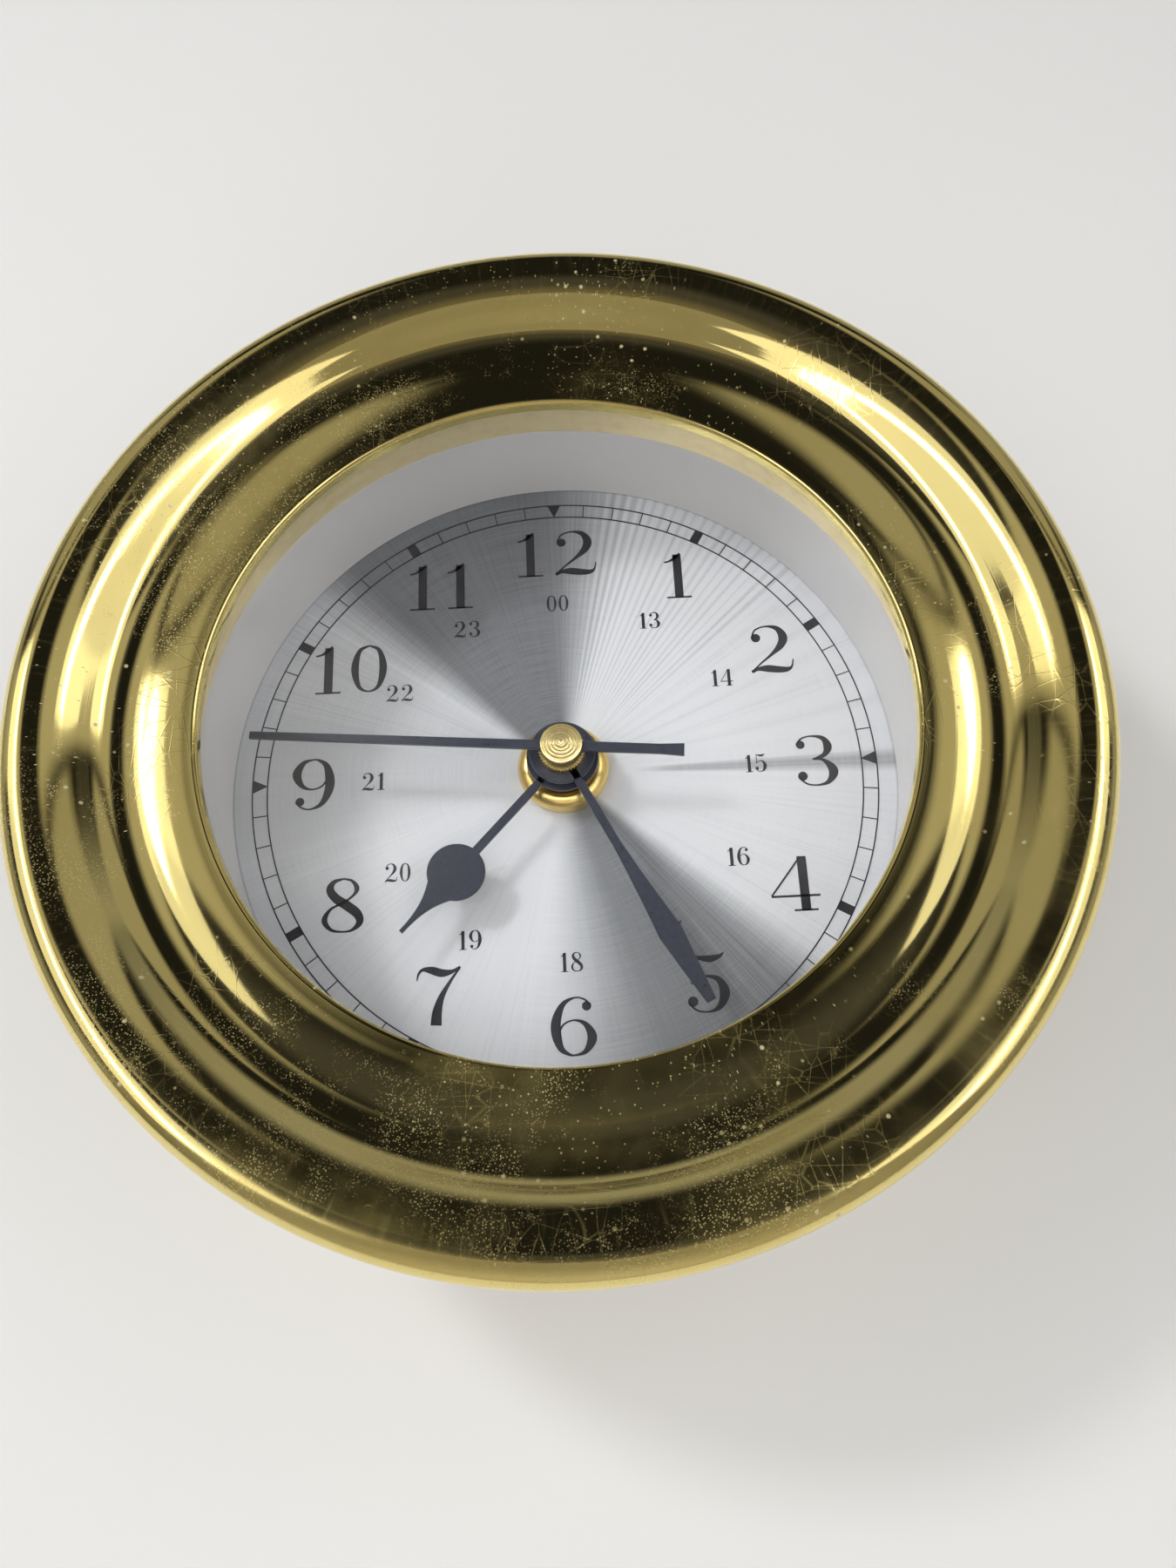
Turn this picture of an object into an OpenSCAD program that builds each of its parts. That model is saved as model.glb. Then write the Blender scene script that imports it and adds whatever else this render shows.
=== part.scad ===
// Brass ship clock: a deep round case with a profiled front ring, a silvered
// 12 and 24 hour dial, three hands and a battery quartz movement.
// Every module is drawn lying on its back, dial up, z = 0 on the wall face.
// The last lines stand the clock upright: the dial faces -Y, 12 o'clock is +Z.

/* [Front ring] */
// Outer radius of the front ring
rim_r = 63; // [60:0.5:68]
// How far the lip reaches in over the glass, past the inside of the sleeve
lip_over = 2.9; // [2:0.1:4]
// Height of the lip's back face above the dial
lip_h = 22.8; // [21:0.1:26]
// Thickness of the rounded lip
lip_t = 1.7; // [1.2:0.1:1.9]
// Radius of the lip's round edge
lip_round = 0.6; // [0.3:0.1:0.8]
// Rise of the bead's crest above the lip's back face
bead_rise = 1.9; // [1.9:0.1:3]
// Place of the bead's crest, as a share of the ring's width from lip to rim
bead_place = 0.174; // [0.15:0.002:0.2]
// Place where the bead ends and the valley begins, as a share of that width
bead_end = 0.277; // [0.25:0.002:0.29]
// Radius of the bead's curve, as a share of that width
bead_share = 1.03; // [0.8:0.01:1.3]
// Radius of the valley's curve, as a share of that width
valley_share = 0.47; // [0.4:0.01:0.5]
// Slope at which the valley tightens into the cove, in degrees
cove_start = 16; // [12:1:20]
// Radius of the cove's curve, as a share of the ring's width
cove_share = 0.225; // [0.18:0.005:0.26]
// Steepest slope between the cove and the shoulder, in degrees
cove_slope = 44; // [38:1:48]
// Length of the straight stretch at the steepest slope, as a share of the ring's width
straight_share = 0.055; // [0.02:0.005:0.07]
// Slope of the land between the shoulder and the roll, in degrees
land_slope = 13; // [8:1:16]
// Width of the land, as a share of the ring's width
land_share = 0.046; // [0.02:0.002:0.07]
// Radius of the half-round roll along the rim
roll_r = 3; // [2.4:0.1:3.3]
// Wall of the skirt that sleeves over the case
skirt_wall = 1.6; // [1.2:0.1:2]
// Height of the skirt's back edge above the dial
skirt_h = 11; // [6:0.5:16]

/* [Case] */
// Outer radius of the drum
drum_r = 57; // [56:0.5:57.5]
// Wall of the drum
drum_wall = 1.6; // [1.2:0.1:2]
// Height of the drum's front edge above the dial
drum_h = 21; // [18:0.5:21.5]
// Distance from the wall face to the back of the dial
dial_back_z = 21; // [20.6:0.1:24]
// Thickness of the dial seat and of the cover lugs
ledge_t = 2; // [1.5:0.1:3]
// Width of the seat ring that the dial lies on
seat_w = 8.9; // [8:0.1:9.4]
// Radial depth of the cover lugs
lug_depth = 5.9; // [5.3:0.1:8]
// Width of the cover lugs
lug_w = 10; // [8:0.5:14]
// Radial clearance of parts that slip into or over each other
slip = 0.3; // [0.2:0.05:0.5]

/* [Back cover] */
// Thickness of the back cover
cover_t = 1.2; // [0.8:0.1:1.5]
// Gap between the movement and the window's edge
window_gap = 1; // [0.8:0.1:1.2]
// Corner radius of the window
window_round = 4; // [2:0.5:8]
// Number of cover screws
cover_screws = 3; // [3:1:6]
// Radius of the screws' threads
screw_r = 1.2; // [1:0.1:1.5]
// Radius of the screws' heads
screw_head_r = 2.1; // [1.8:0.1:2.4]
// Web between the window and the keyhole's mouth
keyhole_web = 3.75; // [3.25:0.25:4.5]
// Radius of the keyhole's round mouth
keyhole_r = 4.25; // [3.5:0.25:4.5]
// Width of the keyhole's slot
keyhole_slot = 4.2; // [3:0.2:4.6]
// Length of the keyhole's slot above the mouth's centre
keyhole_rise = 6.5; // [5.5:0.25:7]
// Width of the hanger plate
hanger_w = 24; // [22:0.5:25]
// Height of the hanger plate
hanger_h = 15; // [14:0.25:15.5]
// Thickness of the hanger plate
hanger_t = 1.2; // [0.8:0.1:1.6]
// Distance between the two hanger rivets
rivet_pitch = 17.5; // [15:0.5:18]
// Radius of the hanger rivets
rivet_r = 1.1; // [0.8:0.1:1.4]

/* [Glass and dial] */
// Thickness of the flat glass
glass_t = 1.8; // [1.5:0.1:2.5]
// Radial wall of the brass sleeve under the glass
sleeve_wall = 1.5; // [1:0.1:1.8]
// Inner radius of the sleeve and of the white wall
well_r = 44.6; // [44:0.1:45.2]
// Thickness of the gasket between glass and lip
gasket_t = 0.5; // [0.3:0.1:1]
// Height of the white wall above the dial
wall_h = 14; // [11:0.5:17]
// Thickness of the white wall's foot flange
wall_foot = 1.2; // [0.8:0.1:2]
// Thickness of the dial plate
dial_t = 0.8; // [0.6:0.1:1.2]
// Bare ring of dial between the minute track and the white wall
track_margin = 2.6; // [2:0.1:3.6]
// Width of the minute track
track_w = 2; // [1.5:0.1:3]
// Width of the track's lines
track_line = 0.16; // [0.1:0.02:0.3]
// Width of the hour blocks
block_w = 1.3; // [0.8:0.1:1.6]
// Width of the triangles at 12, 3, 6 and 9
triangle_w = 1.9; // [1.2:0.1:2.4]
// Thickness of the printed ink
ink_t = 0.06; // [0.04:0.01:0.1]

/* [Hands] */
// Position of the hour hand, degrees clockwise from 12
hour_angle = 223.2; // [0:0.1:360]
// Position of the minute hand, degrees clockwise from 12
minute_angle = 153; // [0:0.1:360]
// Position of the second hand, degrees clockwise from 12
second_angle = 275; // [0:0.1:360]
// Thickness of the stamped hands
hand_t = 0.5; // [0.3:0.05:0.7]
// Height of the hour hand above the dial
hour_hand_h = 5.3; // [5:0.1:5.6]
// Length of the hour hand
hour_length = 30.5; // [28:0.5:34]
// Distance of the hour hand's disc from the centre
hour_disc_place = 20.4; // [18:0.2:22]
// Radius of the hour hand's disc
hour_disc_r = 3.7; // [3:0.05:4.5]
// Width of the hour hand's blunt tip
hour_tip_w = 0.5; // [0.4:0.05:0.8]
// Radius of the hour hand's hub
hour_hub_r = 4.7; // [4.2:0.1:5.4]
// Height of the minute hand above the dial
minute_hand_h = 6.9; // [6.7:0.1:7.2]
// Length of the minute hand
minute_length = 36.8; // [34:0.2:39]
// Distance of the minute hand's widest point from the centre
minute_widest = 27.2; // [24:0.2:29]
// Greatest width of the minute hand
minute_width = 3.1; // [2:0.1:3.6]
// Width of the minute hand's blunt tip
minute_tip_w = 1.2; // [0.6:0.1:1.6]
// Radius of the minute hand's hub
minute_hub_r = 4.25; // [3.6:0.05:4.4]
// Height of the second hand above the dial
second_hand_h = 9.3; // [9.2:0.1:9.8]
// Length of the second hand
second_length = 40; // [36:0.5:42]
// Length of the second hand's tail
second_tail = 15.6; // [12:0.2:18]
// Width of the second hand beside its hub
second_w = 1.3; // [1:0.05:1.6]
// Radius of the second hand's hub
second_hub_r = 2.9; // [2.7:0.1:3.2]
// Width of the hour and minute hands' stems
stem_w = 1.1; // [1:0.05:1.6]
// Radius of the knurled hand nut
hand_nut_r = 3.1; // [2.6:0.1:3.4]
// Thickness of the knurled hand nut
hand_nut_t = 1; // [0.8:0.1:1.2]
// Radius of the second hand's turned cap
cap_r = 2.65; // [2.2:0.05:2.8]

/* [Movement] */
// Wall of the housing
housing_wall = 1.2; // [1:0.1:1.5]
// Depth of the housing
housing_t = 14.8; // [14.8:0.1:15.2]
// Thickness of the rubber washer behind the dial
washer_t = 0.5; // [0.4:0.1:1]
// Radius of the threaded centre bush
bush_r = 4; // [3.8:0.1:4.2]
// Radius of the dial nut
dial_nut_r = 6.1; // [5.6:0.1:6.8]
// Height of the dial nut
dial_nut_t = 3; // [2.4:0.1:3.4]
// Radius of the hour tube
hour_tube_r = 2.5; // [2.4:0.05:2.6]
// Radius of the minute pipe
minute_pipe_r = 1.6; // [1.5:0.05:1.7]
// Radius of the second arbor
second_arbor_r = 0.5; // [0.45:0.05:0.6]
// Radial running clearance of every arbor and tube
run = 0.05; // [0.03:0.01:0.08]
// Distance from the centre to the third wheel's arbor
third_distance = 6.8; // [6.7:0.05:7]
// Distance from the centre to the fifth wheel's arbor
fifth_distance = 7; // [6.9:0.05:7.2]
// Distance from the fifth wheel's arbor to the rotor's
rotor_distance = 5.76; // [5.7:0.02:5.9]
// Distance from the centre to the motion wheel, and on to the setting stem
motion_distance = 8.4; // [8.3:0.05:8.6]
// Radius of the rotor magnet
magnet_r = 3; // [2.6:0.1:3.1]
// Radius of the setting knob
knob_r = 5; // [4:0.2:5.4]
// Radius of the AA cell
cell_r = 7.1; // [7:0.05:7.2]
// Length of the AA cell
cell_length = 49.5; // [49:0.1:50.5]
// Room for a contact at each end of the cell
contact_room = 2.05; // [1.8:0.05:2.4]

/* [Hidden] */
round_fn = 96;
small_fn = 32;
cut = 1;

// Heights of the case, from the wall face, and its radii
lip_r = well_r - lip_over;
dial_z = dial_back_z + dial_t;
lip_z = dial_z + lip_h;
drum_top = dial_z + drum_h;
drum_in = drum_r - drum_wall;
dial_r = drum_in - slip;
sleeve_r = well_r + sleeve_wall;
bezel_bore = sleeve_r + run;
skirt_in = drum_r + slip;
skirt_out = skirt_in + skirt_wall;
glass_r = bezel_bore - slip;
gasket_z = lip_z - gasket_t;
glass_z = gasket_z - glass_t;
wall_top = dial_z + wall_h;
track_outer = well_r - track_margin;
track_inner = track_outer - track_w;
cover_r = drum_in - slip;
solder_gap = 0.05;
seat_r = drum_in - solder_gap;
cover_screw_circle = drum_in - lug_depth / 2;
ring_screws = 3;
top = 90;
bottom = 270;

half_turn = 180;

// The front ring's outline, each point a radius and a height
function arc(x, z, r, from, to, steps) =
  [for (i = [0 : steps]) let (a = from + (to - from) * i / steps) [x + r * sin(a), z + r * cos(a)]];
lip_face_z = lip_z + lip_t;
ring_w = rim_r - lip_r;
bead_r = lip_r + bead_place * ring_w;
bead_z = lip_z + bead_rise;
bead_curve = bead_share * ring_w;
bead_from = asin((lip_r + 2 * lip_round - bead_r) / bead_curve);
bead_to = asin((bead_end - bead_place) * ring_w / bead_curve);
valley_curve = valley_share * ring_w;
valley_x = lip_r + bead_end * ring_w + valley_curve * sin(bead_to);
valley_z = bead_z - bead_curve + (bead_curve + valley_curve) * cos(bead_to);
cove_curve = cove_share * ring_w;
cove_x = valley_x + (valley_curve - cove_curve) * sin(cove_start);
cove_z = valley_z - (valley_curve - cove_curve) * cos(cove_start);
straight = straight_share * ring_w;
slope_x = cove_x + cove_curve * sin(cove_slope) + straight * cos(cove_slope);
slope_z = cove_z - cove_curve * cos(cove_slope) + straight * sin(cove_slope);
roll_x = rim_r - roll_r;
land_x = roll_x - roll_r * sin(land_slope) - land_share * ring_w;
shoulder_curve = (land_x - slope_x) / (sin(cove_slope) - sin(land_slope));
shoulder_x = slope_x + shoulder_curve * sin(cove_slope);
shoulder_z = slope_z - shoulder_curve * cos(cove_slope);
land_z = shoulder_z + shoulder_curve * cos(land_slope);
roll_z = land_z + land_share * ring_w * tan(land_slope) - roll_r * cos(land_slope);
skirt_z = dial_z + skirt_h;
bezel_screw_z = skirt_z + 2 * screw_r + 2 * slip;
screw_slot = 0.4;
slot_depth = 0.6;

// Heights inside the movement, from the wall face
housing_front = dial_back_z - washer_t;
housing_rear = housing_front - housing_t;
front_inner = housing_front - housing_wall;
rear_inner = housing_rear + housing_wall;
inner_half = cell_length / 2 + contact_room;
half = inner_half + housing_wall;
housing = 2 * half;
window = housing + 2 * window_gap;
housing_round = 3;
cell_gap = 0.4;
bay_top_y = -inner_half + 2 * cell_r + 3 * cell_gap;
train_low_y = bay_top_y + housing_wall;
cell_y = -inner_half + cell_r + cell_gap;
bush_flange = 0.4;
cell_saddles = [-cell_length / 3, cell_length / 3 - housing_wall];
cell_z = front_inner - cell_r - cell_gap;
split_z = front_inner - cell_r + slip;
cover_rebate = 0.4;
contact_t = 0.4;
contact_h = 1.4 * cell_r;
plus_w = 0.6 * contact_h;
minus_w = 0.8 * contact_h;
nub_r = 0.38 * cell_r;
nub_h = 1;
press = 0.01;
wheel_gap = 0.4;
boss_h = 1.5 * wheel_gap;
hour_wheel_t = 1;
hour_wheel_z = front_inner - boss_h - hour_wheel_t;
motion_wheel_t = 1;
motion_wheel_z = hour_wheel_z - 2 * wheel_gap - motion_wheel_t;
cannon_z = motion_wheel_z - wheel_gap / 2;
cannon_t = motion_wheel_t + wheel_gap;
centre_wheel_t = 0.8;
centre_wheel_z = cannon_z - boss_h - centre_wheel_t;
plate_t = 0.8;
plate_z = centre_wheel_z - boss_h - plate_t;
plate_top = plate_z + plate_t;
plate_posts = third_distance * [[-2.2, -0.88], [-2.2, 1.47], [2.13, 1.25]];
plate_edge = 2;
plate_step = 4;
third_wheel_t = 0.6;
third_wheel_z = plate_z - wheel_gap - third_wheel_t;
second_wheel_t = 0.8;
second_wheel_z = third_wheel_z - wheel_gap * 3 / 4 - second_wheel_t;
fifth_wheel_t = 0.6;
fifth_wheel_z = second_wheel_z - wheel_gap - fifth_wheel_t;
stator_t = 1;
stator_z = rear_inner + 2 * wheel_gap;
pivot_z = rear_inner + wheel_gap / 2;
pivot_h = 0.4;
pin_r = 0.4;
third_arbor_r = 0.5;
boss_r = 1.3;
stem_r = 1.5;
knob_t = 1.5;
knob_z = housing_rear - slip - knob_t;
knob_grooves = 24;
knob_groove_r = 0.5;
knob_slot = [knob_r, 1, 0.6];

// The keyhole's height above the dial axis, and the middle of the hanger plate
keyhole_y = window / 2 + keyhole_web + keyhole_r;
hanger_y = keyhole_y + keyhole_rise / 2 - 1;

// Tooth counts of the train and places of its arbors
cannon_teeth = 14;
motion_teeth = 42;
motion_pinion_teeth = 12;
hour_teeth = 48;
centre_teeth = 64;
third_pinion_teeth = 8;
third_teeth = 60;
second_pinion_teeth = 8;
second_teeth = 60;
fifth_pinion_teeth = 10;
fifth_teeth = 60;
rotor_pinion_teeth = 12;
third_dir = 150;
fifth_dir = 60;
rotor_dir = 30;
motion_dir = 0;
setting_dir = half_turn + 18.5 * 360 / motion_teeth;
third_at = third_distance * [cos(third_dir), sin(third_dir)];
fifth_at = fifth_distance * [cos(fifth_dir), sin(fifth_dir)];
rotor_at = fifth_at + rotor_distance * [cos(rotor_dir), sin(rotor_dir)];
motion_at = motion_distance * [cos(motion_dir), sin(motion_dir)];
setting_at = motion_at + motion_distance * [cos(setting_dir), sin(setting_dir)];
motion_module = 2 * motion_distance / (cannon_teeth + motion_teeth);
hour_module = 2 * motion_distance / (motion_pinion_teeth + hour_teeth);
centre_module = 2 * third_distance / (centre_teeth + third_pinion_teeth);
third_module = 2 * third_distance / (third_teeth + second_pinion_teeth);
second_module = 2 * fifth_distance / (second_teeth + fifth_pinion_teeth);
fifth_module = 2 * rotor_distance / (fifth_teeth + rotor_pinion_teeth);

// The coil and its stator
coil_x = rotor_at[0];
coil_length = 20;
core_length = 30;
core_w = 3;
core_t = 1;
core_z = stator_z + stator_t;
coil_z = core_z + core_t / 2;
coil_r = 2.1;
coil_y = inner_half - 3 * coil_r;
flange_r = 2.25;
flange_t = 0.8;
bobbin_w = core_w + wheel_gap;
bobbin_t = core_t + 2 * wheel_gap;
arm_w = 4;
stator_gap = 0.5;
stator_edge = 1.5;
stator_w = 2 * (magnet_r + stator_gap + stator_edge);
stator_slit = 0.4;
magnet_over = 0.4;

// The circuit board
board_gap = 0.8;
board_w = 16;
board_h = 20;
board_t = 1;
board_x = -inner_half + board_gap;
board_y = inner_half - board_gap - board_h;
board_z = rear_inner + 2.5 * wheel_gap;
board_post = 2;
chip_at = [board_w / 2, 0.65 * board_h];
chip_r = 3;
chip_h = 0.9;
crystal_r = 1;
crystal_length = 6;

// Heights of the centre stack
hour_seat = dial_z + hour_hand_h;
minute_seat = dial_z + minute_hand_h;
second_seat = dial_z + second_hand_h;
nut_seat = minute_seat + hand_t;
pipe_top = nut_seat + hand_nut_t;
second_top = second_seat + hand_t;
dial_nut_round = 1.6;
dial_nut_face = 0.9;
dial_nut_dip = 0.5;
cap_edge = 0.9;
cap_point = 0.4;
cap_tip_r = 0.2;
collet_gap = 0.2;
collet_wall = 1;
bush_top = hour_seat - hand_t - collet_gap;
nut_grooves = 36;
nut_groove = 0.16;

// A gear's outline: six points a tooth, the first tooth's middle at first_tooth degrees
function gear_outline(teeth, size, first_tooth) =
  let (
    pitch_r = teeth * size / 2,
    root = pitch_r - 1.1 * size,
    tip = pitch_r + 0.8 * size,
    tooth = [[root, -0.29], [pitch_r, -0.2], [tip, -0.1], [tip, 0.1], [pitch_r, 0.2], [root, 0.29]]
  )
  [for (i = [0 : teeth - 1], p = tooth)
    let (a = first_tooth + 360 / teeth * (i + p[1])) p[0] * [cos(a), sin(a)]];

// The angle that puts a gap of a wheel where its mate's tooth comes from a direction
function facing(direction, teeth) = direction + half_turn + half_turn / teeth;

module gear(teeth, size, thickness, bore, first_tooth) {
  difference() {
    linear_extrude(thickness) polygon(gear_outline(teeth, size, first_tooth));
    translate([0, 0, -cut]) cylinder(h = thickness + 2 * cut, r = bore, $fn = small_fn);
  }
}

module ring(outer, inner, thickness) {
  difference() {
    cylinder(h = thickness, r = outer, $fn = round_fn);
    translate([0, 0, -cut]) cylinder(h = thickness + 2 * cut, r = inner, $fn = round_fn);
  }
}

module round_box(width, height, thickness, radius) {
  translate([-width / 2, -height / 2 + radius, 0]) cube([width, height - 2 * radius, thickness]);
  translate([-width / 2 + radius, -height / 2, 0]) cube([width - 2 * radius, height, thickness]);
  for (sx = [-1, 1], sy = [-1, 1]) {
    translate([sx * (width / 2 - radius), sy * (height / 2 - radius), 0])
      cylinder(h = thickness, r = radius, $fn = small_fn);
  }
}

module at(place, z) {
  translate([place[0], place[1], z]) children();
}

module around(count, first) {
  for (i = [0 : count - 1]) {
    rotate([0, 0, first + i * 360 / count]) children();
  }
}

// A hand points along +y until it is turned clockwise to its place
module turned(angle, z) {
  translate([0, 0, z]) rotate([0, 0, -angle]) children();
}

// Front ring and what it holds

module bezel_ring() {
  outline = concat(
    [[lip_r, lip_z]],
    arc(lip_r + lip_round, lip_face_z - lip_round, lip_round, -90, 0, 6),
    arc(bead_r, bead_z - bead_curve, bead_curve, bead_from, bead_to, 12),
    arc(valley_x, valley_z, -valley_curve, bead_to, -cove_start, 10),
    arc(cove_x, cove_z, -cove_curve, -cove_start, -cove_slope, 12),
    arc(shoulder_x, shoulder_z, shoulder_curve, -cove_slope, -land_slope, 14),
    arc(roll_x, roll_z, roll_r, -land_slope, half_turn, 26),
    [
      [skirt_out, roll_z - roll_r],
      [skirt_out, skirt_z],
      [skirt_in, skirt_z],
      [skirt_in, drum_top],
      [bezel_bore + skirt_wall, drum_top],
      [bezel_bore + skirt_wall, wall_top + slip],
      [bezel_bore, wall_top + slip],
      [bezel_bore, lip_z]
    ]
  );
  color("goldenrod") difference() {
    rotate_extrude($fn = round_fn) polygon(outline);
    around(ring_screws, top) translate([drum_r - cut, 0, bezel_screw_z]) rotate([0, 90, 0])
      cylinder(h = skirt_wall + 3 * cut, r = screw_r + run, $fn = small_fn);
  }
}

module bezel_screws() {
  inner = drum_in + drum_wall / 4;
  color("gold") around(ring_screws, top) translate([inner, 0, bezel_screw_z]) rotate([0, 90, 0])
    difference() {
      cylinder(h = skirt_out - inner, r = screw_r, $fn = small_fn);
      translate([-screw_slot / 2, -2 * screw_r, skirt_out - inner - slot_depth])
        cube([screw_slot, 4 * screw_r, cut]);
    }
}

module glass_gasket() {
  color("black") translate([0, 0, gasket_z]) ring(glass_r, lip_r + lip_round, gasket_t);
}

module front_glass() {
  color("azure", 0.3) translate([0, 0, glass_z]) cylinder(h = glass_t, r = glass_r, $fn = round_fn);
}

module glass_sleeve() {
  color("goldenrod") translate([0, 0, wall_top]) ring(sleeve_r, well_r, glass_z - wall_top);
}

module white_wall() {
  color("ivory") {
    translate([0, 0, dial_z]) ring(sleeve_r, well_r, wall_h);
    translate([0, 0, dial_z]) ring(dial_r, well_r, wall_foot);
  }
}

module dial_plate() {
  color("silver") translate([0, 0, dial_back_z]) ring(dial_r, bush_r + run, dial_t);
}

module minute_track() {
  color("black") translate([0, 0, dial_z]) linear_extrude(ink_t) {
    for (r = [track_outer, track_inner + track_line]) {
      difference() {
        circle(r, $fn = round_fn);
        circle(r - track_line, $fn = round_fn);
      }
    }
    low = track_inner + track_line / 2;
    high = track_outer - track_line / 2;
    for (minute = [0 : 59]) {
      width = minute % 5 == 0 ? block_w : track_line;
      rotate(6 * minute) {
        if (minute % 15 == 0) {
          polygon([[-triangle_w / 2, high], [triangle_w / 2, high], [0, low]]);
        } else {
          translate([-width / 2, low]) square([width, high - low]);
        }
      }
    }
  }
}

// Case

module case_drum() {
  color("darkgoldenrod") difference() {
    ring(drum_r, drum_in, drum_top);
    around(ring_screws, top) translate([drum_in - cut, 0, bezel_screw_z]) rotate([0, 90, 0])
      cylinder(h = drum_wall + 2 * cut, r = screw_r + run, $fn = small_fn);
  }
}

module dial_seat() {
  color("darkgoldenrod") translate([0, 0, dial_back_z - ledge_t]) ring(seat_r, drum_in - seat_w, ledge_t);
}

module cover_lugs() {
  color("darkgoldenrod") translate([0, 0, cover_t]) around(cover_screws, bottom) difference() {
    intersection() {
      ring(seat_r, drum_in - lug_depth, ledge_t);
      translate([0, -lug_w / 2, 0]) cube([drum_r, lug_w, ledge_t]);
    }
    translate([cover_screw_circle, 0, -cut])
      cylinder(h = ledge_t + 2 * cut, r = screw_r + run, $fn = small_fn);
  }
}

module keyhole(radius, slot, thickness) {
  translate([0, keyhole_y, 0]) {
    cylinder(h = thickness, r = radius, $fn = small_fn);
    translate([-slot / 2, 0, 0]) cube([slot, keyhole_rise, thickness]);
    translate([0, keyhole_rise, 0]) cylinder(h = thickness, r = slot / 2, $fn = small_fn);
  }
}

module back_cover() {
  color("peru") difference() {
    cylinder(h = cover_t, r = cover_r, $fn = round_fn);
    translate([0, 0, -cut]) round_box(window, window, cover_t + 2 * cut, window_round);
    translate([0, 0, -cut]) keyhole(keyhole_r, keyhole_slot, cover_t + 2 * cut);
    around(cover_screws, bottom) translate([cover_screw_circle, 0, 0]) {
      translate([0, 0, -cut]) cylinder(h = cover_t + 2 * cut, r = screw_r + run, $fn = small_fn);
      cylinder(h = cover_t - slip, r1 = screw_head_r + run, r2 = screw_r + run, $fn = small_fn);
    }
    for (sx = [-1, 1]) {
      translate([sx * rivet_pitch / 2, hanger_y, -cut])
        cylinder(h = cover_t + 2 * cut, r = rivet_r + run, $fn = small_fn);
    }
  }
}

module cover_screws() {
  color("silver") around(cover_screws, bottom) translate([cover_screw_circle, 0, 0]) difference() {
    union() {
      cylinder(h = cover_t + ledge_t, r = screw_r, $fn = small_fn);
      cylinder(h = cover_t - slip, r1 = screw_head_r, r2 = screw_r, $fn = small_fn);
    }
    translate([-screw_slot / 2, -2 * screw_head_r, -cut])
      cube([screw_slot, 4 * screw_head_r, cut + slot_depth]);
  }
}

module hanger_plate() {
  color("silver") translate([0, 0, cover_t]) difference() {
    translate([-hanger_w / 2, hanger_y - hanger_h / 2, 0]) cube([hanger_w, hanger_h, hanger_t]);
    translate([0, 0, -cut]) keyhole(keyhole_r + slip, keyhole_slot, hanger_t + 2 * cut);
    for (sx = [-1, 1]) {
      translate([sx * rivet_pitch / 2, hanger_y, -cut])
        cylinder(h = hanger_t + 2 * cut, r = rivet_r + run, $fn = small_fn);
    }
  }
}

module hanger_rivets() {
  color("silver") for (sx = [-1, 1]) {
    translate([sx * rivet_pitch / 2, hanger_y, 0]) {
      cylinder(h = cover_t + hanger_t, r = rivet_r, $fn = small_fn);
      translate([0, 0, cover_t + hanger_t])
        cylinder(h = 0.7 * rivet_r, r1 = 2 * rivet_r, r2 = rivet_r, $fn = small_fn);
    }
  }
}

// Movement: the housing

module movement_base() {
  deep = split_z - housing_rear;
  color("dimgray") difference() {
    union() {
      difference() {
        translate([0, 0, housing_rear + cover_rebate])
          round_box(housing, housing, housing_t - cover_rebate, housing_round);
        translate([-inner_half, train_low_y, housing_rear])
          cube([2 * inner_half, inner_half - train_low_y, front_inner - housing_rear]);
        translate([-inner_half, -inner_half, housing_rear])
          cube([2 * inner_half, bay_top_y + inner_half, front_inner - housing_rear]);
        translate([-half - cut, bay_top_y, housing_rear])
          cube([housing + 2 * cut, half - bay_top_y + cut, deep]);
      }
      at(motion_at, front_inner - boss_h) cylinder(h = boss_h + cut / 2, r = boss_r, $fn = small_fn);
      for (post = plate_posts) {
        at(post, plate_top) cylinder(h = front_inner - plate_top + cut / 2, r = boss_r, $fn = small_fn);
      }
      for (saddle = cell_saddles) {
        translate([saddle, -inner_half, cell_z])
          cube([housing_wall, bay_top_y + inner_half, front_inner - cell_z + cut / 2]);
      }
    }
    translate([0, 0, housing_rear]) cylinder(h = housing_t + cut, r = bush_r + run, $fn = small_fn);
    at(motion_at, front_inner - boss_h - cut) cylinder(h = boss_h + cut, r = pin_r + run, $fn = small_fn);
    translate([-half, cell_y, cell_z]) rotate([0, 90, 0])
      cylinder(h = housing, r = cell_r + cell_gap / 2, $fn = round_fn);
  }
}

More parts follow.
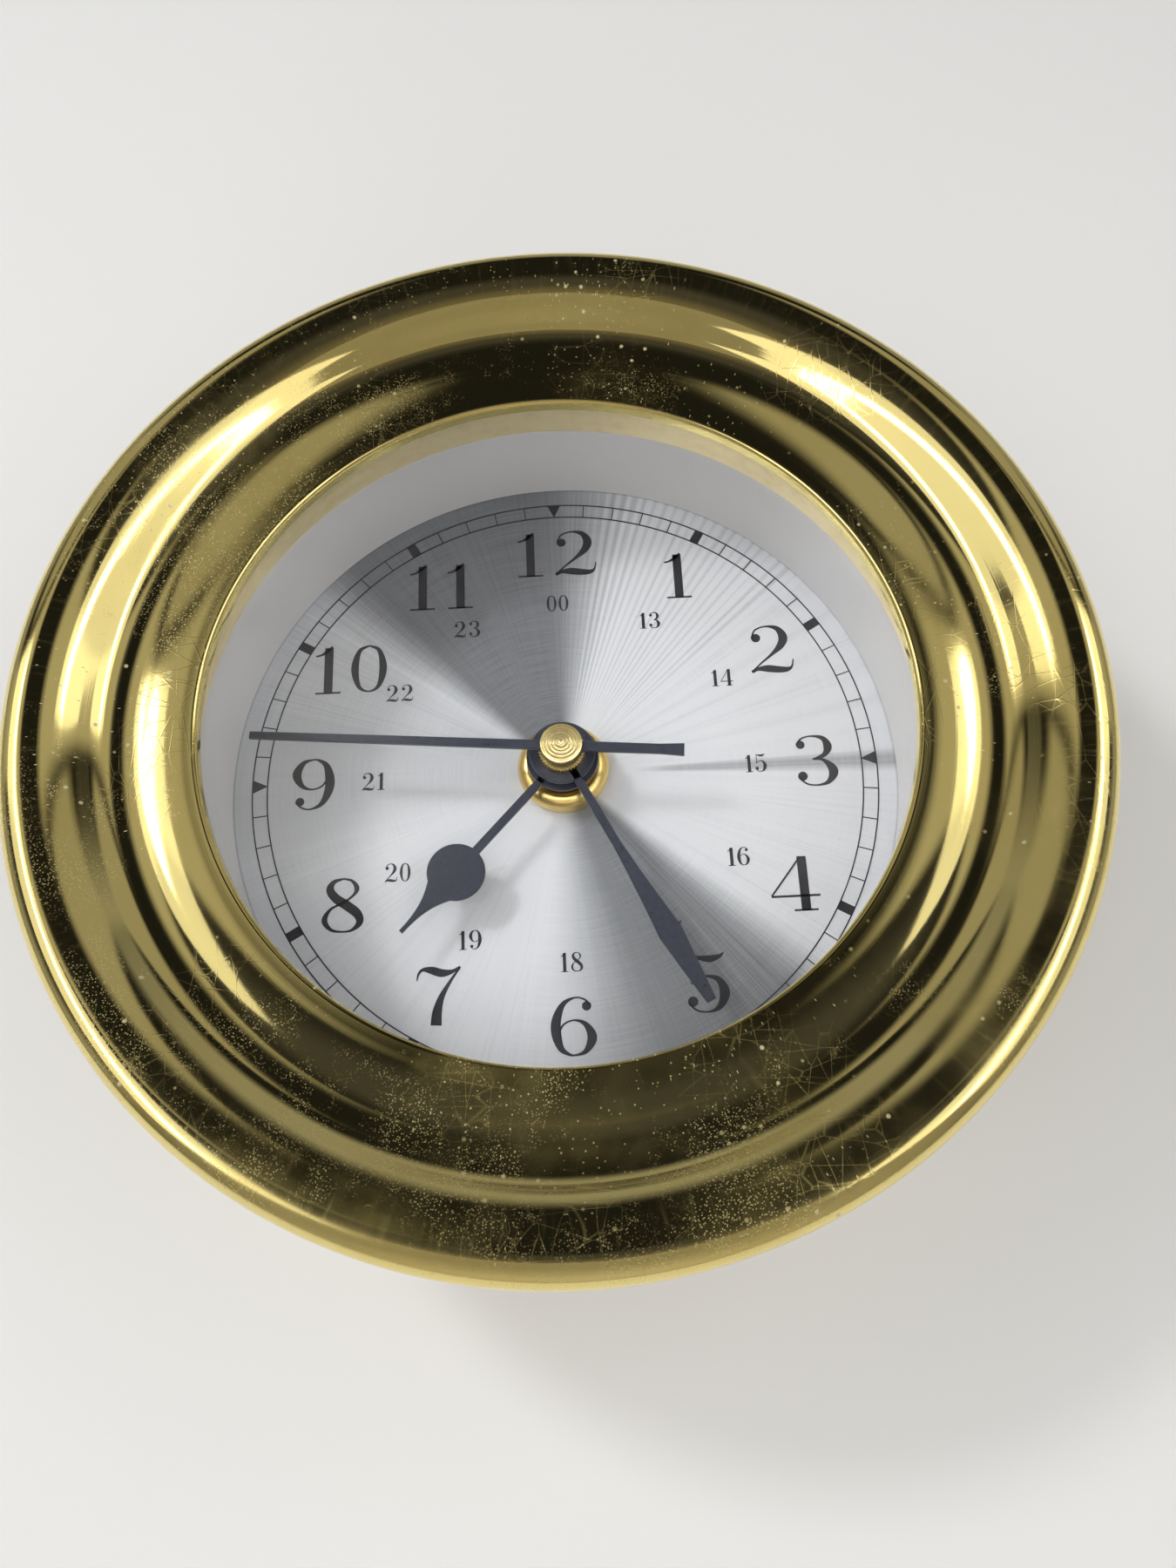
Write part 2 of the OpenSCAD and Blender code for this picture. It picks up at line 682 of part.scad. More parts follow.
module movement_cover() {
  deep = split_z - housing_rear;
  board_posts = [[board_post, board_post], [board_w - board_post, board_h - board_post]];
  color("gray") difference() {
    union() {
      difference() {
        intersection() {
          translate([0, 0, housing_rear]) round_box(housing, housing, deep, housing_round);
          translate([-half, bay_top_y, housing_rear]) cube([housing, half - bay_top_y, deep]);
        }
        translate([-inner_half, train_low_y, rear_inner])
          cube([2 * inner_half, inner_half - train_low_y, split_z - rear_inner + cut]);
      }
      for (arbor = [[0, 0], third_at, fifth_at, rotor_at]) {
        at(arbor, rear_inner - cut / 2) cylinder(h = boss_h + cut / 2, r = boss_r, $fn = small_fn);
      }
      for (post = board_posts) {
        at([board_x, board_y] + post, rear_inner - cut / 2)
          cylinder(h = board_z - rear_inner + cut / 2, r = boss_r, $fn = small_fn);
      }
      for (sx = [-1, 1]) {
        at([coil_x + sx * (core_length - arm_w) / 2, coil_y], rear_inner - cut / 2)
          cylinder(h = stator_z - rear_inner + cut / 2, r = boss_r, $fn = small_fn);
      }
    }
    for (arbor = [[0, 0], third_at, fifth_at, rotor_at]) {
      at(arbor, pivot_z) cylinder(h = 2 * cut, r = pin_r + run, $fn = small_fn);
    }
    at(setting_at, housing_rear - cut) cylinder(h = 3 * cut, r = stem_r + run, $fn = small_fn);
  }
}

module centre_bush() {
  flange_z = front_inner - bush_flange;
  color("goldenrod") difference() {
    union() {
      translate([0, 0, flange_z]) cylinder(h = bush_flange, r = 1.375 * bush_r, $fn = small_fn);
      translate([0, 0, flange_z]) cylinder(h = bush_top - flange_z, r = bush_r, $fn = small_fn);
    }
    translate([0, 0, flange_z - cut])
      cylinder(h = bush_top - flange_z + 2 * cut, r = hour_tube_r + run, $fn = small_fn);
  }
}

module rubber_washer() {
  color("black") translate([0, 0, housing_front]) ring(2.25 * bush_r, bush_r + slip, washer_t);
}

module dial_nut() {
  shape = concat(
    [[bush_r + run, dial_z]],
    [[dial_nut_r - slip, dial_z]],
    arc(dial_nut_r - dial_nut_round, dial_z + slip + dial_nut_round, dial_nut_round, 90, 0, 10),
    [[bush_r + dial_nut_face, dial_z + dial_nut_t - dial_nut_dip]],
    [[bush_r + run, dial_z + dial_nut_t]]
  );
  color("gold") rotate_extrude($fn = round_fn) polygon(shape);
}

module train_plate() {
  low = plate_posts[0] - [plate_edge, plate_edge];
  right = plate_posts[2][0] + plate_edge;
  color("goldenrod") translate([0, 0, plate_z]) difference() {
    union() {
      translate([low[0], low[1], 0]) cube([right - low[0], plate_step - low[1], plate_t]);
      translate([low[0], plate_step, 0])
        cube([-plate_step - low[0], plate_posts[1][1] + plate_edge - plate_step, plate_t]);
      translate([second_arbor_r + 1, plate_step, 0])
        cube([right - second_arbor_r - 1, plate_posts[2][1] + plate_edge - plate_step, plate_t]);
    }
    translate([0, 0, -cut]) cylinder(h = 3 * cut, r = second_arbor_r + 3 * run, $fn = small_fn);
    at(third_at, -cut) cylinder(h = 3 * cut, r = third_arbor_r + run, $fn = small_fn);
    at(fifth_at, -cut) cylinder(h = 3 * cut, r = pin_r + run, $fn = small_fn);
    at(rotor_at, -cut) cylinder(h = 3 * cut, r = pin_r + run, $fn = small_fn);
    at(motion_at, -cut) cylinder(h = 3 * cut, r = pin_r + run, $fn = small_fn);
    at(setting_at, -cut) cylinder(h = 3 * cut, r = stem_r + 3 * run, $fn = small_fn);
  }
}

// Movement: the drive

module circuit_board() {
  color("darkgreen") translate([board_x, board_y, board_z]) cube([board_w, board_h, board_t]);
}

module driver_chip() {
  color("black") translate([board_x + chip_at[0], board_y + chip_at[1], board_z + board_t])
    cylinder(h = chip_h, r1 = chip_r, r2 = 0.6 * chip_r, $fn = small_fn);
}

module quartz_crystal() {
  color("silver") translate([board_x + 3 * crystal_r, board_y + 4 * crystal_r, board_z + board_t + crystal_r])
    rotate([0, 90, 0]) cylinder(h = crystal_length, r = crystal_r, $fn = small_fn);
}

module stator() {
  color("slategray") translate([0, 0, stator_z]) difference() {
    union() {
      translate([coil_x - core_length / 2, rotor_at[1] - stator_w / 2, 0])
        cube([core_length, stator_w, stator_t]);
      for (sx = [-1, 1]) {
        translate([coil_x + sx * (core_length - arm_w) / 2 - arm_w / 2, rotor_at[1], 0])
          cube([arm_w, coil_y + core_w / 2 - rotor_at[1], stator_t]);
      }
    }
    at(rotor_at, -cut) cylinder(h = 3 * cut, r = magnet_r + stator_gap, $fn = small_fn);
    at(fifth_at, -cut) cylinder(h = 3 * cut, r = boss_r + slip, $fn = small_fn);
    translate([rotor_at[0] - stator_slit / 2, rotor_at[1] - stator_w / 2 - cut, -cut])
      cube([stator_slit, stator_edge + stator_gap + cut, 3 * cut]);
  }
}

module coil_core() {
  color("silver") translate([coil_x - core_length / 2, coil_y - core_w / 2, core_z])
    cube([core_length, core_w, core_t]);
}

module bar(thick, wide, length) {
  translate([-thick / 2, -wide / 2, -length / 2]) cube([thick, wide, length]);
}

module coil_bobbin() {
  color("white") translate([coil_x, coil_y, coil_z]) rotate([0, 90, 0]) difference() {
    union() {
      bar(bobbin_t, bobbin_w, coil_length);
      for (end = [-coil_length / 2, coil_length / 2 - flange_t]) {
        translate([0, 0, end]) cylinder(h = flange_t, r = flange_r, $fn = small_fn);
      }
    }
    bar(core_t + 4 * press, core_w + 4 * press, 2 * coil_length);
  }
}

module coil_winding() {
  wound = coil_length - 2 * flange_t;
  color("chocolate") translate([coil_x, coil_y, coil_z]) rotate([0, 90, 0]) difference() {
    translate([0, 0, -wound / 2]) cylinder(h = wound, r = coil_r, $fn = round_fn);
    bar(bobbin_t + 4 * press, bobbin_w + 4 * press, 2 * coil_length);
  }
}

module cell() {
  color("darkslategray") translate([-cell_length / 2, cell_y, cell_z]) rotate([0, 90, 0]) {
    cylinder(h = cell_length - nub_h, r = cell_r, $fn = round_fn);
    cylinder(h = cell_length, r = nub_r, $fn = small_fn);
  }
}

module plus_contact() {
  low_z = cell_z - contact_h / 2;
  color("silver") {
    translate([cell_length / 2, cell_y - plus_w / 2, low_z]) cube([contact_t, plus_w, contact_h]);
    translate([cell_length / 2 + contact_t, cell_y - plus_w / 2, low_z + contact_h - 2 * contact_t])
      cube([contact_room - contact_t, plus_w, contact_t]);
  }
}

module minus_contact() {
  low_z = cell_z - contact_h / 2;
  color("silver") {
    translate([-inner_half, cell_y - minus_w / 2, low_z]) cube([contact_t, minus_w, contact_h]);
    translate([-inner_half + contact_t, cell_y, cell_z]) rotate([0, 90, 0])
      cylinder(h = contact_room - contact_t, r1 = 0.34 * contact_h, r2 = 0.16 * contact_h, $fn = small_fn);
  }
}

// Movement: the wheels

module rotor_magnet() {
  color("darkgray") at(rotor_at, stator_z - magnet_over / 2) difference() {
    cylinder(h = stator_t + magnet_over, r = magnet_r, $fn = small_fn);
    translate([0, 0, -cut]) cylinder(h = 4 * cut, r = pin_r + press, $fn = small_fn);
  }
}

module rotor_pinion() {
  first = facing(rotor_dir, rotor_pinion_teeth);
  color("white") at(rotor_at, 0) {
    translate([0, 0, pivot_z]) cylinder(h = plate_top - pivot_z, r = pin_r, $fn = small_fn);
    translate([0, 0, fifth_wheel_z - wheel_gap / 2])
      gear(rotor_pinion_teeth, fifth_module, fifth_wheel_t + wheel_gap, pin_r / 2, first);
  }
}

module fifth_arbor() {
  first = facing(fifth_dir, fifth_pinion_teeth);
  color("white") at(fifth_at, 0) {
    translate([0, 0, pivot_z]) cylinder(h = plate_top - pivot_z, r = pin_r, $fn = small_fn);
    translate([0, 0, fifth_wheel_z + fifth_wheel_t])
      gear(fifth_pinion_teeth, second_module, second_wheel_t + boss_h, pin_r / 2, first);
  }
}

module fifth_wheel() {
  color("ivory") at(fifth_at, fifth_wheel_z)
    gear(fifth_teeth, fifth_module, fifth_wheel_t, pin_r + press, rotor_dir);
}

module second_arbor() {
  first = third_dir + half_turn / second_pinion_teeth;
  shaft_z = pivot_z + pivot_h;
  color("silver") {
    translate([0, 0, pivot_z]) cylinder(h = 2 * pivot_h, r = pin_r, $fn = small_fn);
    translate([0, 0, shaft_z]) cylinder(h = second_top - shaft_z, r = second_arbor_r, $fn = small_fn);
    translate([0, 0, second_wheel_z + second_wheel_t])
      gear(second_pinion_teeth, third_module, third_wheel_t + wheel_gap, second_arbor_r / 2, first);
  }
}

module second_wheel() {
  color("ivory") translate([0, 0, second_wheel_z])
    gear(second_teeth, second_module, second_wheel_t, second_arbor_r + press, fifth_dir);
}

module third_arbor() {
  first = facing(third_dir, third_pinion_teeth);
  shaft_z = pivot_z + pivot_h;
  color("white") at(third_at, 0) {
    translate([0, 0, pivot_z]) cylinder(h = 2 * pivot_h, r = pin_r, $fn = small_fn);
    translate([0, 0, shaft_z]) cylinder(h = centre_wheel_z - shaft_z, r = third_arbor_r, $fn = small_fn);
    translate([0, 0, centre_wheel_z - wheel_gap * 3 / 4])
      gear(third_pinion_teeth, centre_module, centre_wheel_t + boss_h, third_arbor_r / 2, first);
  }
}

module third_wheel() {
  color("ivory") at(third_at, third_wheel_z)
    gear(third_teeth, third_module, third_wheel_t, third_arbor_r + press, third_dir + half_turn);
}

module minute_pipe() {
  low_z = plate_top + wheel_gap / 2;
  color("silver") difference() {
    union() {
      translate([0, 0, low_z]) cylinder(h = pipe_top - low_z, r = minute_pipe_r, $fn = small_fn);
      translate([0, 0, cannon_z]) gear(cannon_teeth, motion_module, cannon_t, second_arbor_r, motion_dir);
    }
    translate([0, 0, plate_z]) cylinder(h = pipe_top, r = second_arbor_r + run, $fn = small_fn);
  }
}

module centre_wheel() {
  color("ivory") translate([0, 0, centre_wheel_z])
    gear(centre_teeth, centre_module, centre_wheel_t, minute_pipe_r + press, third_dir);
}

module motion_wheel() {
  first = facing(motion_dir, motion_teeth);
  pinion_z = motion_wheel_z + motion_wheel_t;
  pinion_t = hour_wheel_z + hour_wheel_t - pinion_z;
  color("ivory") at(motion_at, 0) {
    translate([0, 0, plate_z]) cylinder(h = front_inner - wheel_gap / 2 - plate_z, r = pin_r, $fn = small_fn);
    translate([0, 0, motion_wheel_z]) gear(motion_teeth, motion_module, motion_wheel_t, pin_r / 2, first);
    translate([0, 0, pinion_z])
      gear(motion_pinion_teeth, hour_module, pinion_t, pin_r / 2, motion_dir + half_turn);
  }
}

module hour_wheel() {
  first = motion_dir + half_turn / hour_teeth;
  color("ivory") translate([0, 0, hour_wheel_z]) difference() {
    union() {
      gear(hour_teeth, hour_module, hour_wheel_t, minute_pipe_r, first);
      cylinder(h = hour_seat + hand_t - hour_wheel_z, r = hour_tube_r, $fn = small_fn);
    }
    translate([0, 0, -cut]) cylinder(h = hour_seat + hand_t + cut, r = minute_pipe_r + run, $fn = small_fn);
  }
}

module setting_stem() {
  low_z = knob_z + knob_t;
  first = facing(setting_dir, cannon_teeth);
  color("white") at(setting_at, 0) {
    translate([0, 0, low_z])
      cylinder(h = cannon_z + cannon_t + wheel_gap - low_z, r = stem_r, $fn = small_fn);
    translate([0, 0, cannon_z]) gear(cannon_teeth, motion_module, cannon_t, stem_r / 2, first);
  }
}

module setting_knob() {
  color("dimgray") at(setting_at, knob_z) difference() {
    cylinder(h = knob_t, r = knob_r, $fn = round_fn);
    around(knob_grooves, 0) translate([knob_r + knob_groove_r / 2, 0, -cut])
      cylinder(h = knob_t + 2 * cut, r = knob_groove_r, $fn = 8);
    translate([-knob_slot[0] / 2, -knob_slot[1] / 2, -cut])
      cube([knob_slot[0], knob_slot[1], cut + knob_slot[2]]);
  }
}

// Hands

module hub_hole(radius) {
  translate([0, 0, -cut]) cylinder(h = 4 * cut, r = radius, $fn = small_fn);
}

module hour_hand() {
  rod_y = hour_disc_place + hour_disc_r / 3;
  rod_w = 0.85 * hour_disc_r;
  rod = function(s) [hour_tip_w / 2 + rod_w * pow(1 - s, 2.6), rod_y + s * (hour_length - rod_y)];
  right = [for (i = [0 : 12]) rod(i / 12)];
  left = [for (i = [12 : -1 : 0]) [-right[i][0], right[i][1]]];
  color("darkslategray") turned(hour_angle, hour_seat) difference() {
    union() {
      cylinder(h = hand_t, r = hour_hub_r, $fn = round_fn);
      translate([-stem_w / 2, 0, 0]) cube([stem_w, hour_disc_place, hand_t]);
      translate([0, hour_disc_place, 0]) cylinder(h = hand_t, r = hour_disc_r, $fn = round_fn);
      linear_extrude(hand_t) polygon(concat(right, left));
    }
    hub_hole(hour_tube_r + press);
  }
}

module minute_hand() {
  taper = (minute_width - minute_tip_w) / 2 / (minute_length - minute_widest);
  half_width = function(r) r < minute_widest
    ? stem_w / 2 + (minute_width - stem_w) / 2 * pow(max(0, 2 * r / minute_widest - 1), 1.3)
    : minute_tip_w / 2 + taper * (minute_length - r);
  radii = concat([0, minute_widest / 2], [for (i = [1 : 8]) minute_widest * (0.5 + i / 16)], [minute_length]);
  right = [for (r = radii) [half_width(r), r]];
  left = [for (i = [len(radii) - 1 : -1 : 0]) [-right[i][0], right[i][1]]];
  color("darkslategray") turned(minute_angle, minute_seat) difference() {
    union() {
      cylinder(h = hand_t, r = minute_hub_r, $fn = round_fn);
      linear_extrude(hand_t) polygon(concat(right, left));
    }
    hub_hole(minute_pipe_r + press);
  }
}

module second_hand() {
  stem = second_w / 2;
  shape = [
    [-0.75 * stem, second_length],
    [-stem, 0],
    [-stem, -0.8 * second_tail],
    [-1.27 * stem, -second_tail],
    [1.27 * stem, -second_tail],
    [stem, -0.8 * second_tail],
    [stem, 0],
    [0.75 * stem, second_length]
  ];
  color("darkslategray") turned(second_angle, second_seat) difference() {
    union() {
      cylinder(h = hand_t, r = second_hub_r, $fn = round_fn);
      linear_extrude(hand_t) polygon(shape);
    }
    hub_hole(second_arbor_r + press);
  }
}

module hour_collet() {
  color("black") translate([0, 0, bush_top + collet_gap]) difference() {
    cylinder(h = hour_seat - bush_top - collet_gap, r = hour_tube_r + collet_wall, $fn = round_fn);
    hub_hole(hour_tube_r + press);
  }
}

module minute_collet() {
  low_z = hour_seat + hand_t + collet_gap;
  color("black") translate([0, 0, low_z]) difference() {
    cylinder(h = minute_seat - low_z, r = minute_pipe_r + collet_wall, $fn = round_fn);
    hub_hole(minute_pipe_r + press);
  }
}

module hand_nut() {
  color("gold") translate([0, 0, nut_seat]) difference() {
    cylinder(h = hand_nut_t, r = hand_nut_r, $fn = round_fn);
    around(nut_grooves, 0) translate([hand_nut_r, 0, 0]) rotate([0, 0, 45])
      cube([nut_groove, nut_groove, 4 * hand_nut_t], center = true);
    translate([0, 0, -cut]) cylinder(h = hand_nut_t + 2 * cut, r = minute_pipe_r + press, $fn = small_fn);
  }
}

module second_tube() {
  low_z = pipe_top + collet_gap;
  color("gold") translate([0, 0, low_z]) difference() {
    cylinder(h = second_seat - low_z, r = second_arbor_r + collet_wall / 2, $fn = small_fn);
    hub_hole(second_arbor_r + press);
  }
}

module second_cap() {
  color("gold") translate([0, 0, second_seat + hand_t]) {
    cylinder(h = cap_edge, r = cap_r, $fn = round_fn);
    translate([0, 0, cap_edge]) cylinder(h = cap_point, r1 = cap_r, r2 = cap_tip_r, $fn = round_fn);
  }
}

module upright() {
  rotate([90, 0, 0]) children();
}

upright() bezel_ring();
upright() glass_gasket();
upright() front_glass();
upright() glass_sleeve();
upright() white_wall();
upright() dial_plate();
upright() minute_track();
upright() case_drum();
upright() dial_seat();
upright() cover_lugs();
upright() bezel_screws();
upright() back_cover();
upright() cover_screws();
upright() hanger_plate();
upright() hanger_rivets();
upright() movement_base();
upright() movement_cover();
upright() centre_bush();
upright() rubber_washer();
upright() dial_nut();
upright() train_plate();
upright() circuit_board();
upright() driver_chip();
upright() quartz_crystal();
upright() stator();
upright() coil_core();
upright() coil_bobbin();
upright() coil_winding();
upright() cell();
upright() plus_contact();
upright() minus_contact();
upright() rotor_magnet();
upright() rotor_pinion();
upright() fifth_arbor();
upright() fifth_wheel();
upright() second_arbor();
upright() second_wheel();
upright() third_arbor();
upright() third_wheel();
upright() minute_pipe();
upright() centre_wheel();
upright() motion_wheel();
upright() hour_wheel();
upright() setting_stem();
upright() setting_knob();
upright() hour_hand();
upright() hour_collet();
upright() minute_hand();
upright() minute_collet();
upright() hand_nut();
upright() second_hand();
upright() second_tube();
upright() second_cap();
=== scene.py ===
"""Brass ship clock on a pale wall, seen from below in front, with its dial, hands and movement."""
import math

import bpy
import numpy as np
from mathutils import Matrix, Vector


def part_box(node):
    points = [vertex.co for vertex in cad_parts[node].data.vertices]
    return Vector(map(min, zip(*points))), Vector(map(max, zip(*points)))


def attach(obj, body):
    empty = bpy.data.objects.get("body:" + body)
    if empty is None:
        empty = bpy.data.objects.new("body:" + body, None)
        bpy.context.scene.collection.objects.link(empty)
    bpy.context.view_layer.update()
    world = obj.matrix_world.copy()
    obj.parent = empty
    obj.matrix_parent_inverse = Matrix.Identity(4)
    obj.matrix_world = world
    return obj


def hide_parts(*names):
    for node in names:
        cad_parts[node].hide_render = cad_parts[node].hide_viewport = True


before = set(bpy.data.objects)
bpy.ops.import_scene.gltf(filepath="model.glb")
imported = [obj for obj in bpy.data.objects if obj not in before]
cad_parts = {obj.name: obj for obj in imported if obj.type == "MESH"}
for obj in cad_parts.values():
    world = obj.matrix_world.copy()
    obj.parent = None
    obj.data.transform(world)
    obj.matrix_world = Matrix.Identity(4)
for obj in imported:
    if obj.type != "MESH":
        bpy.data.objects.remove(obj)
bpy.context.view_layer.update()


# Front ring
# The real ring is one brass casting, turned on a lathe and buffed to a mirror: a rounded lip over the
# glass, a low bead, a valley, a deep cove, a shoulder and a half-round roll, with a plain skirt behind.
# It sleeves over the drum. Its lacquer is old, so it has dust, lint, fine scratches and rubbed patches.
class Value:
    """A number that changes over a surface. Sums, products and the like each add one Math node."""

    def __init__(self, nodes, socket):
        self.nodes, self.socket = nodes, socket

    def maths(self, operation, *others):
        """One Math node of this operation on this number and the others."""
        return self.nodes.node("ShaderNodeMath", {"operation": operation}, enumerate((self, *others)))

    def __add__(self, other):
        return self.maths("ADD", other)

    def __sub__(self, other):
        return self.maths("SUBTRACT", other)

    def __mul__(self, other):
        return self.maths("MULTIPLY", other)

    def __rsub__(self, other):
        return self * -1 + other

    __radd__ = __add__
    __rmul__ = __mul__

    def rise(self, low, high):
        """0 below low, 1 above high and a smooth S between them. With low above high it falls instead."""
        settings = {"interpolation_type": "SMOOTHSTEP"}
        return self.nodes.node("ShaderNodeMapRange", settings, {0: self, 1: low, 2: high})

    def hump(self, middle, half, soft):
        """1 within half of middle, falling to 0 over soft on both sides."""
        return (self - middle).maths("ABSOLUTE").rise(half + soft, half)


class Nodes:
    """The nodes of a material or of the world, which expressions on Values add to."""

    def __init__(self, tree):
        self.tree = tree

    def node(self, kind, settings=(), sockets=(), out=0):
        """Adds a node of this kind, its settings first and then its sockets, and returns one output."""
        made = self.tree.nodes.new(kind)
        for key, value in dict(settings).items():
            setattr(made, key, value)
        for key, value in dict(sockets).items():
            if isinstance(value, Value):
                self.tree.links.new(value.socket, made.inputs[key])
            else:
                made.inputs[key].default_value = value
        return Value(self, made.outputs[out])

    def split(self, place):
        """The three numbers of a place."""
        return [self.node("ShaderNodeSeparateXYZ", (), {0: place}, out=axis) for axis in range(3)]

    def joined(self, *numbers):
        """Up to three numbers as one place, for a pattern that follows them."""
        return self.node("ShaderNodeCombineXYZ", (), enumerate(numbers))

    def mix(self, share, first, second):
        """The first colour, and as much of the second as share says."""
        sockets = {0: share, 6: first, 7: second}
        for key in (6, 7):
            if isinstance(sockets[key], tuple):
                sockets[key] = (*sockets[key], 1)
        return self.node("ShaderNodeMix", {"data_type": "RGBA"}, sockets, out=2)


class Finish(Nodes):
    """A material whose looks are written as expressions on Values."""

    def __init__(self, name, **constants):
        self.material = bpy.data.materials.new(name)
        self.material.use_nodes = True
        super().__init__(self.material.node_tree)
        self.shader = self.tree.nodes["Principled BSDF"]
        for socket, value in constants.items():
            self.shader.inputs[socket.replace("_", " ")].default_value = value
        self.place = self.node("ShaderNodeTexCoord", out="Object")
        self.x, self.depth, self.z = self.split(self.place)

    def feed(self, **looks):
        """Gives the shader's sockets their Values. Base_Color stands for Base Color, and so on."""
        for socket, value in looks.items():
            self.tree.links.new(value.socket, self.shader.inputs[socket.replace("_", " ")])
        return self.material

    def open_where(self, share):
        """Lets a ray pass as through open air where share is 1."""
        air = self.node("ShaderNodeBsdfTransparent")
        sockets = {0: share, 1: Value(self, self.shader.outputs[0]), 2: air}
        both = self.node("ShaderNodeMixShader", (), sockets)
        self.tree.links.new(both.socket, self.tree.nodes["Material Output"].inputs["Surface"])

    def stretched(self, across, depth, up):
        """The place on the object with each axis multiplied, which squeezes a pattern along it."""
        return self.node("ShaderNodeMapping", (), {"Vector": self.place, "Scale": (across, depth, up)})

    def noise(self, scale, detail=3, rough=0.55, at=None):
        """Cloudy noise from 0 to 1, its patches about 1 / scale metres wide."""
        sockets = {"Vector": at or self.place, "Scale": scale, "Detail": detail, "Roughness": rough}
        return self.node("ShaderNodeTexNoise", (), sockets)

    def cells(self, scale, feature="F1", at=None):
        """Distance to the nearest of random points that lie about 1 / scale metres apart."""
        sockets = {"Vector": at or self.place, "Scale": scale}
        return self.node("ShaderNodeTexVoronoi", {"feature": feature}, sockets, "Distance")

    def bump(self, height, distance, strength=1.0, onto=None):
        """The normal over a surface that rises by height times distance, in metres."""
        sockets = {"Height": height, "Distance": distance, "Strength": strength}
        if onto:
            sockets["Normal"] = onto
        return self.node("ShaderNodeBump", (), sockets)

    def radius(self):
        """Distance from the dial's axis in millimetres."""
        return (self.x * self.x + self.z * self.z).maths("SQRT") * 1000

    def hour(self):
        """Angle round the dial in degrees, 0 at 12 o'clock, 90 at 3, -90 at 9."""
        return self.x.maths("ARCTAN2", self.z) * math.degrees(1)


def clock(x, y, height):
    """Millimetres towards 3 o'clock, towards 12 and out from the wall, as a point of the frame in metres."""
    return np.stack(np.broadcast_arrays(x, -np.asarray(height, float), y), axis=-1) / 1000


def shell(grid, round_u=True, round_v=True):
    """Corners and faces of a grid of points. A direction that is round joins its last row to its first."""
    rows, columns = grid.shape[:2]
    u, v = np.meshgrid(np.arange(rows if round_u else rows - 1),
                       np.arange(columns if round_v else columns - 1), indexing="ij")
    u2, v2 = (u + 1) % rows, (v + 1) % columns
    faces = np.stack([u * columns + v, u2 * columns + v, u2 * columns + v2, u * columns + v2], axis=-1)
    return grid.reshape(-1, 3), faces.reshape(-1, 4)


WELD_STEPS = 1e7
CREASE = math.radians(35)


def weld(points, faces):
    """Joins corners that share a place, counted in steps of 0.0001 mm, turns a face with two such corners
    into a triangle, and makes the faces point outwards: the volume, summed over the faces' tetrahedra to
    the origin, has to be positive."""
    places = np.round(points * WELD_STEPS).astype(np.int64)
    _, first, same = np.unique(places, axis=0, return_index=True, return_inverse=True)
    points, faces = points[first], same.reshape(-1)[faces]
    triangles = np.concatenate([faces[:, [0, 1, 2]], faces[:, [0, 2, 3]]])
    a, b, c = triangles.T
    triangles = triangles[(a != b) & (b != c) & (c != a)]
    a, b, c = (points[triangles[:, n]] for n in range(3))
    if np.einsum("ij,ij->i", a, np.cross(b, c)).sum() < 0:
        triangles = triangles[:, ::-1]
    return points, triangles


def piece(name, shells, material, body, *nodes, slot):
    """One mesh object of closed shells, smooth except at edges sharper than the crease. It rides on a
    CAD body and stands for the nodes that it replaces."""
    points, faces, start = [], [], 0
    for part in shells:
        part = weld(*part)
        points.append(part[0])
        faces.append(part[1] + start)
        start += len(part[0])
    points, faces = np.concatenate(points), np.concatenate(faces)
    mesh = bpy.data.meshes.new(name)
    mesh.vertices.add(len(points))
    mesh.vertices.foreach_set("co", points.ravel())
    mesh.loops.add(faces.size)
    mesh.loops.foreach_set("vertex_index", faces.ravel().astype(np.int32))
    mesh.polygons.add(len(faces))
    mesh.polygons.foreach_set("loop_start", np.arange(0, faces.size, 3, dtype=np.int32))
    mesh.update(calc_edges=True)
    mesh.validate()
    mesh.shade_smooth()
    mesh.set_sharp_from_angle(angle=CREASE)
    mesh.materials.append(material)
    made = bpy.data.objects.new(name, mesh)
    bpy.context.scene.collection.objects.link(made)
    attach(made, body)
    if nodes:
        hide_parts(*nodes)


def lathe(profile, count=384, middle=(0, 0), ripple=None):
    """A profile of (radius, height) points turned round an axis: x = r sin t, y = r cos t. It is closed,
    so its last point joins its first. ripple(t) multiplies the radius at angle t."""
    r, h = np.asarray(profile, float).T
    t = np.linspace(0, 2 * np.pi, count, endpoint=False)[:, None]
    r = r * (ripple(t) if ripple else 1)
    return shell(clock(middle[0] + r * np.sin(t), middle[1] + r * np.cos(t), h + 0 * t))


def arc(x, z, radius, start, end, steps):
    """Points of a circle's arc. The angle, in degrees, runs from the height axis to the radius axis."""
    a = np.radians(np.linspace(start, end, steps + 1))
    return list(zip(x + radius * np.sin(a), z + radius * np.cos(a)))


def finer(profile, longest):
    """The same outline with points added so that no stretch is longer than longest."""
    out = []
    for (r1, z1), (r2, z2) in zip(profile, profile[1:] + profile[:1]):
        steps = max(1, math.ceil(math.hypot(r2 - r1, z2 - z1) / longest))
        out += [(r1 + (r2 - r1) * n / steps, z1 + (z2 - z1) * n / steps) for n in range(steps)]
    return out


RING_BRASS = (0.87, 0.725, 0.285)
WORN_BRASS = (0.783, 0.6235, 0.2109)
DUST = (0.50, 0.45, 0.31)


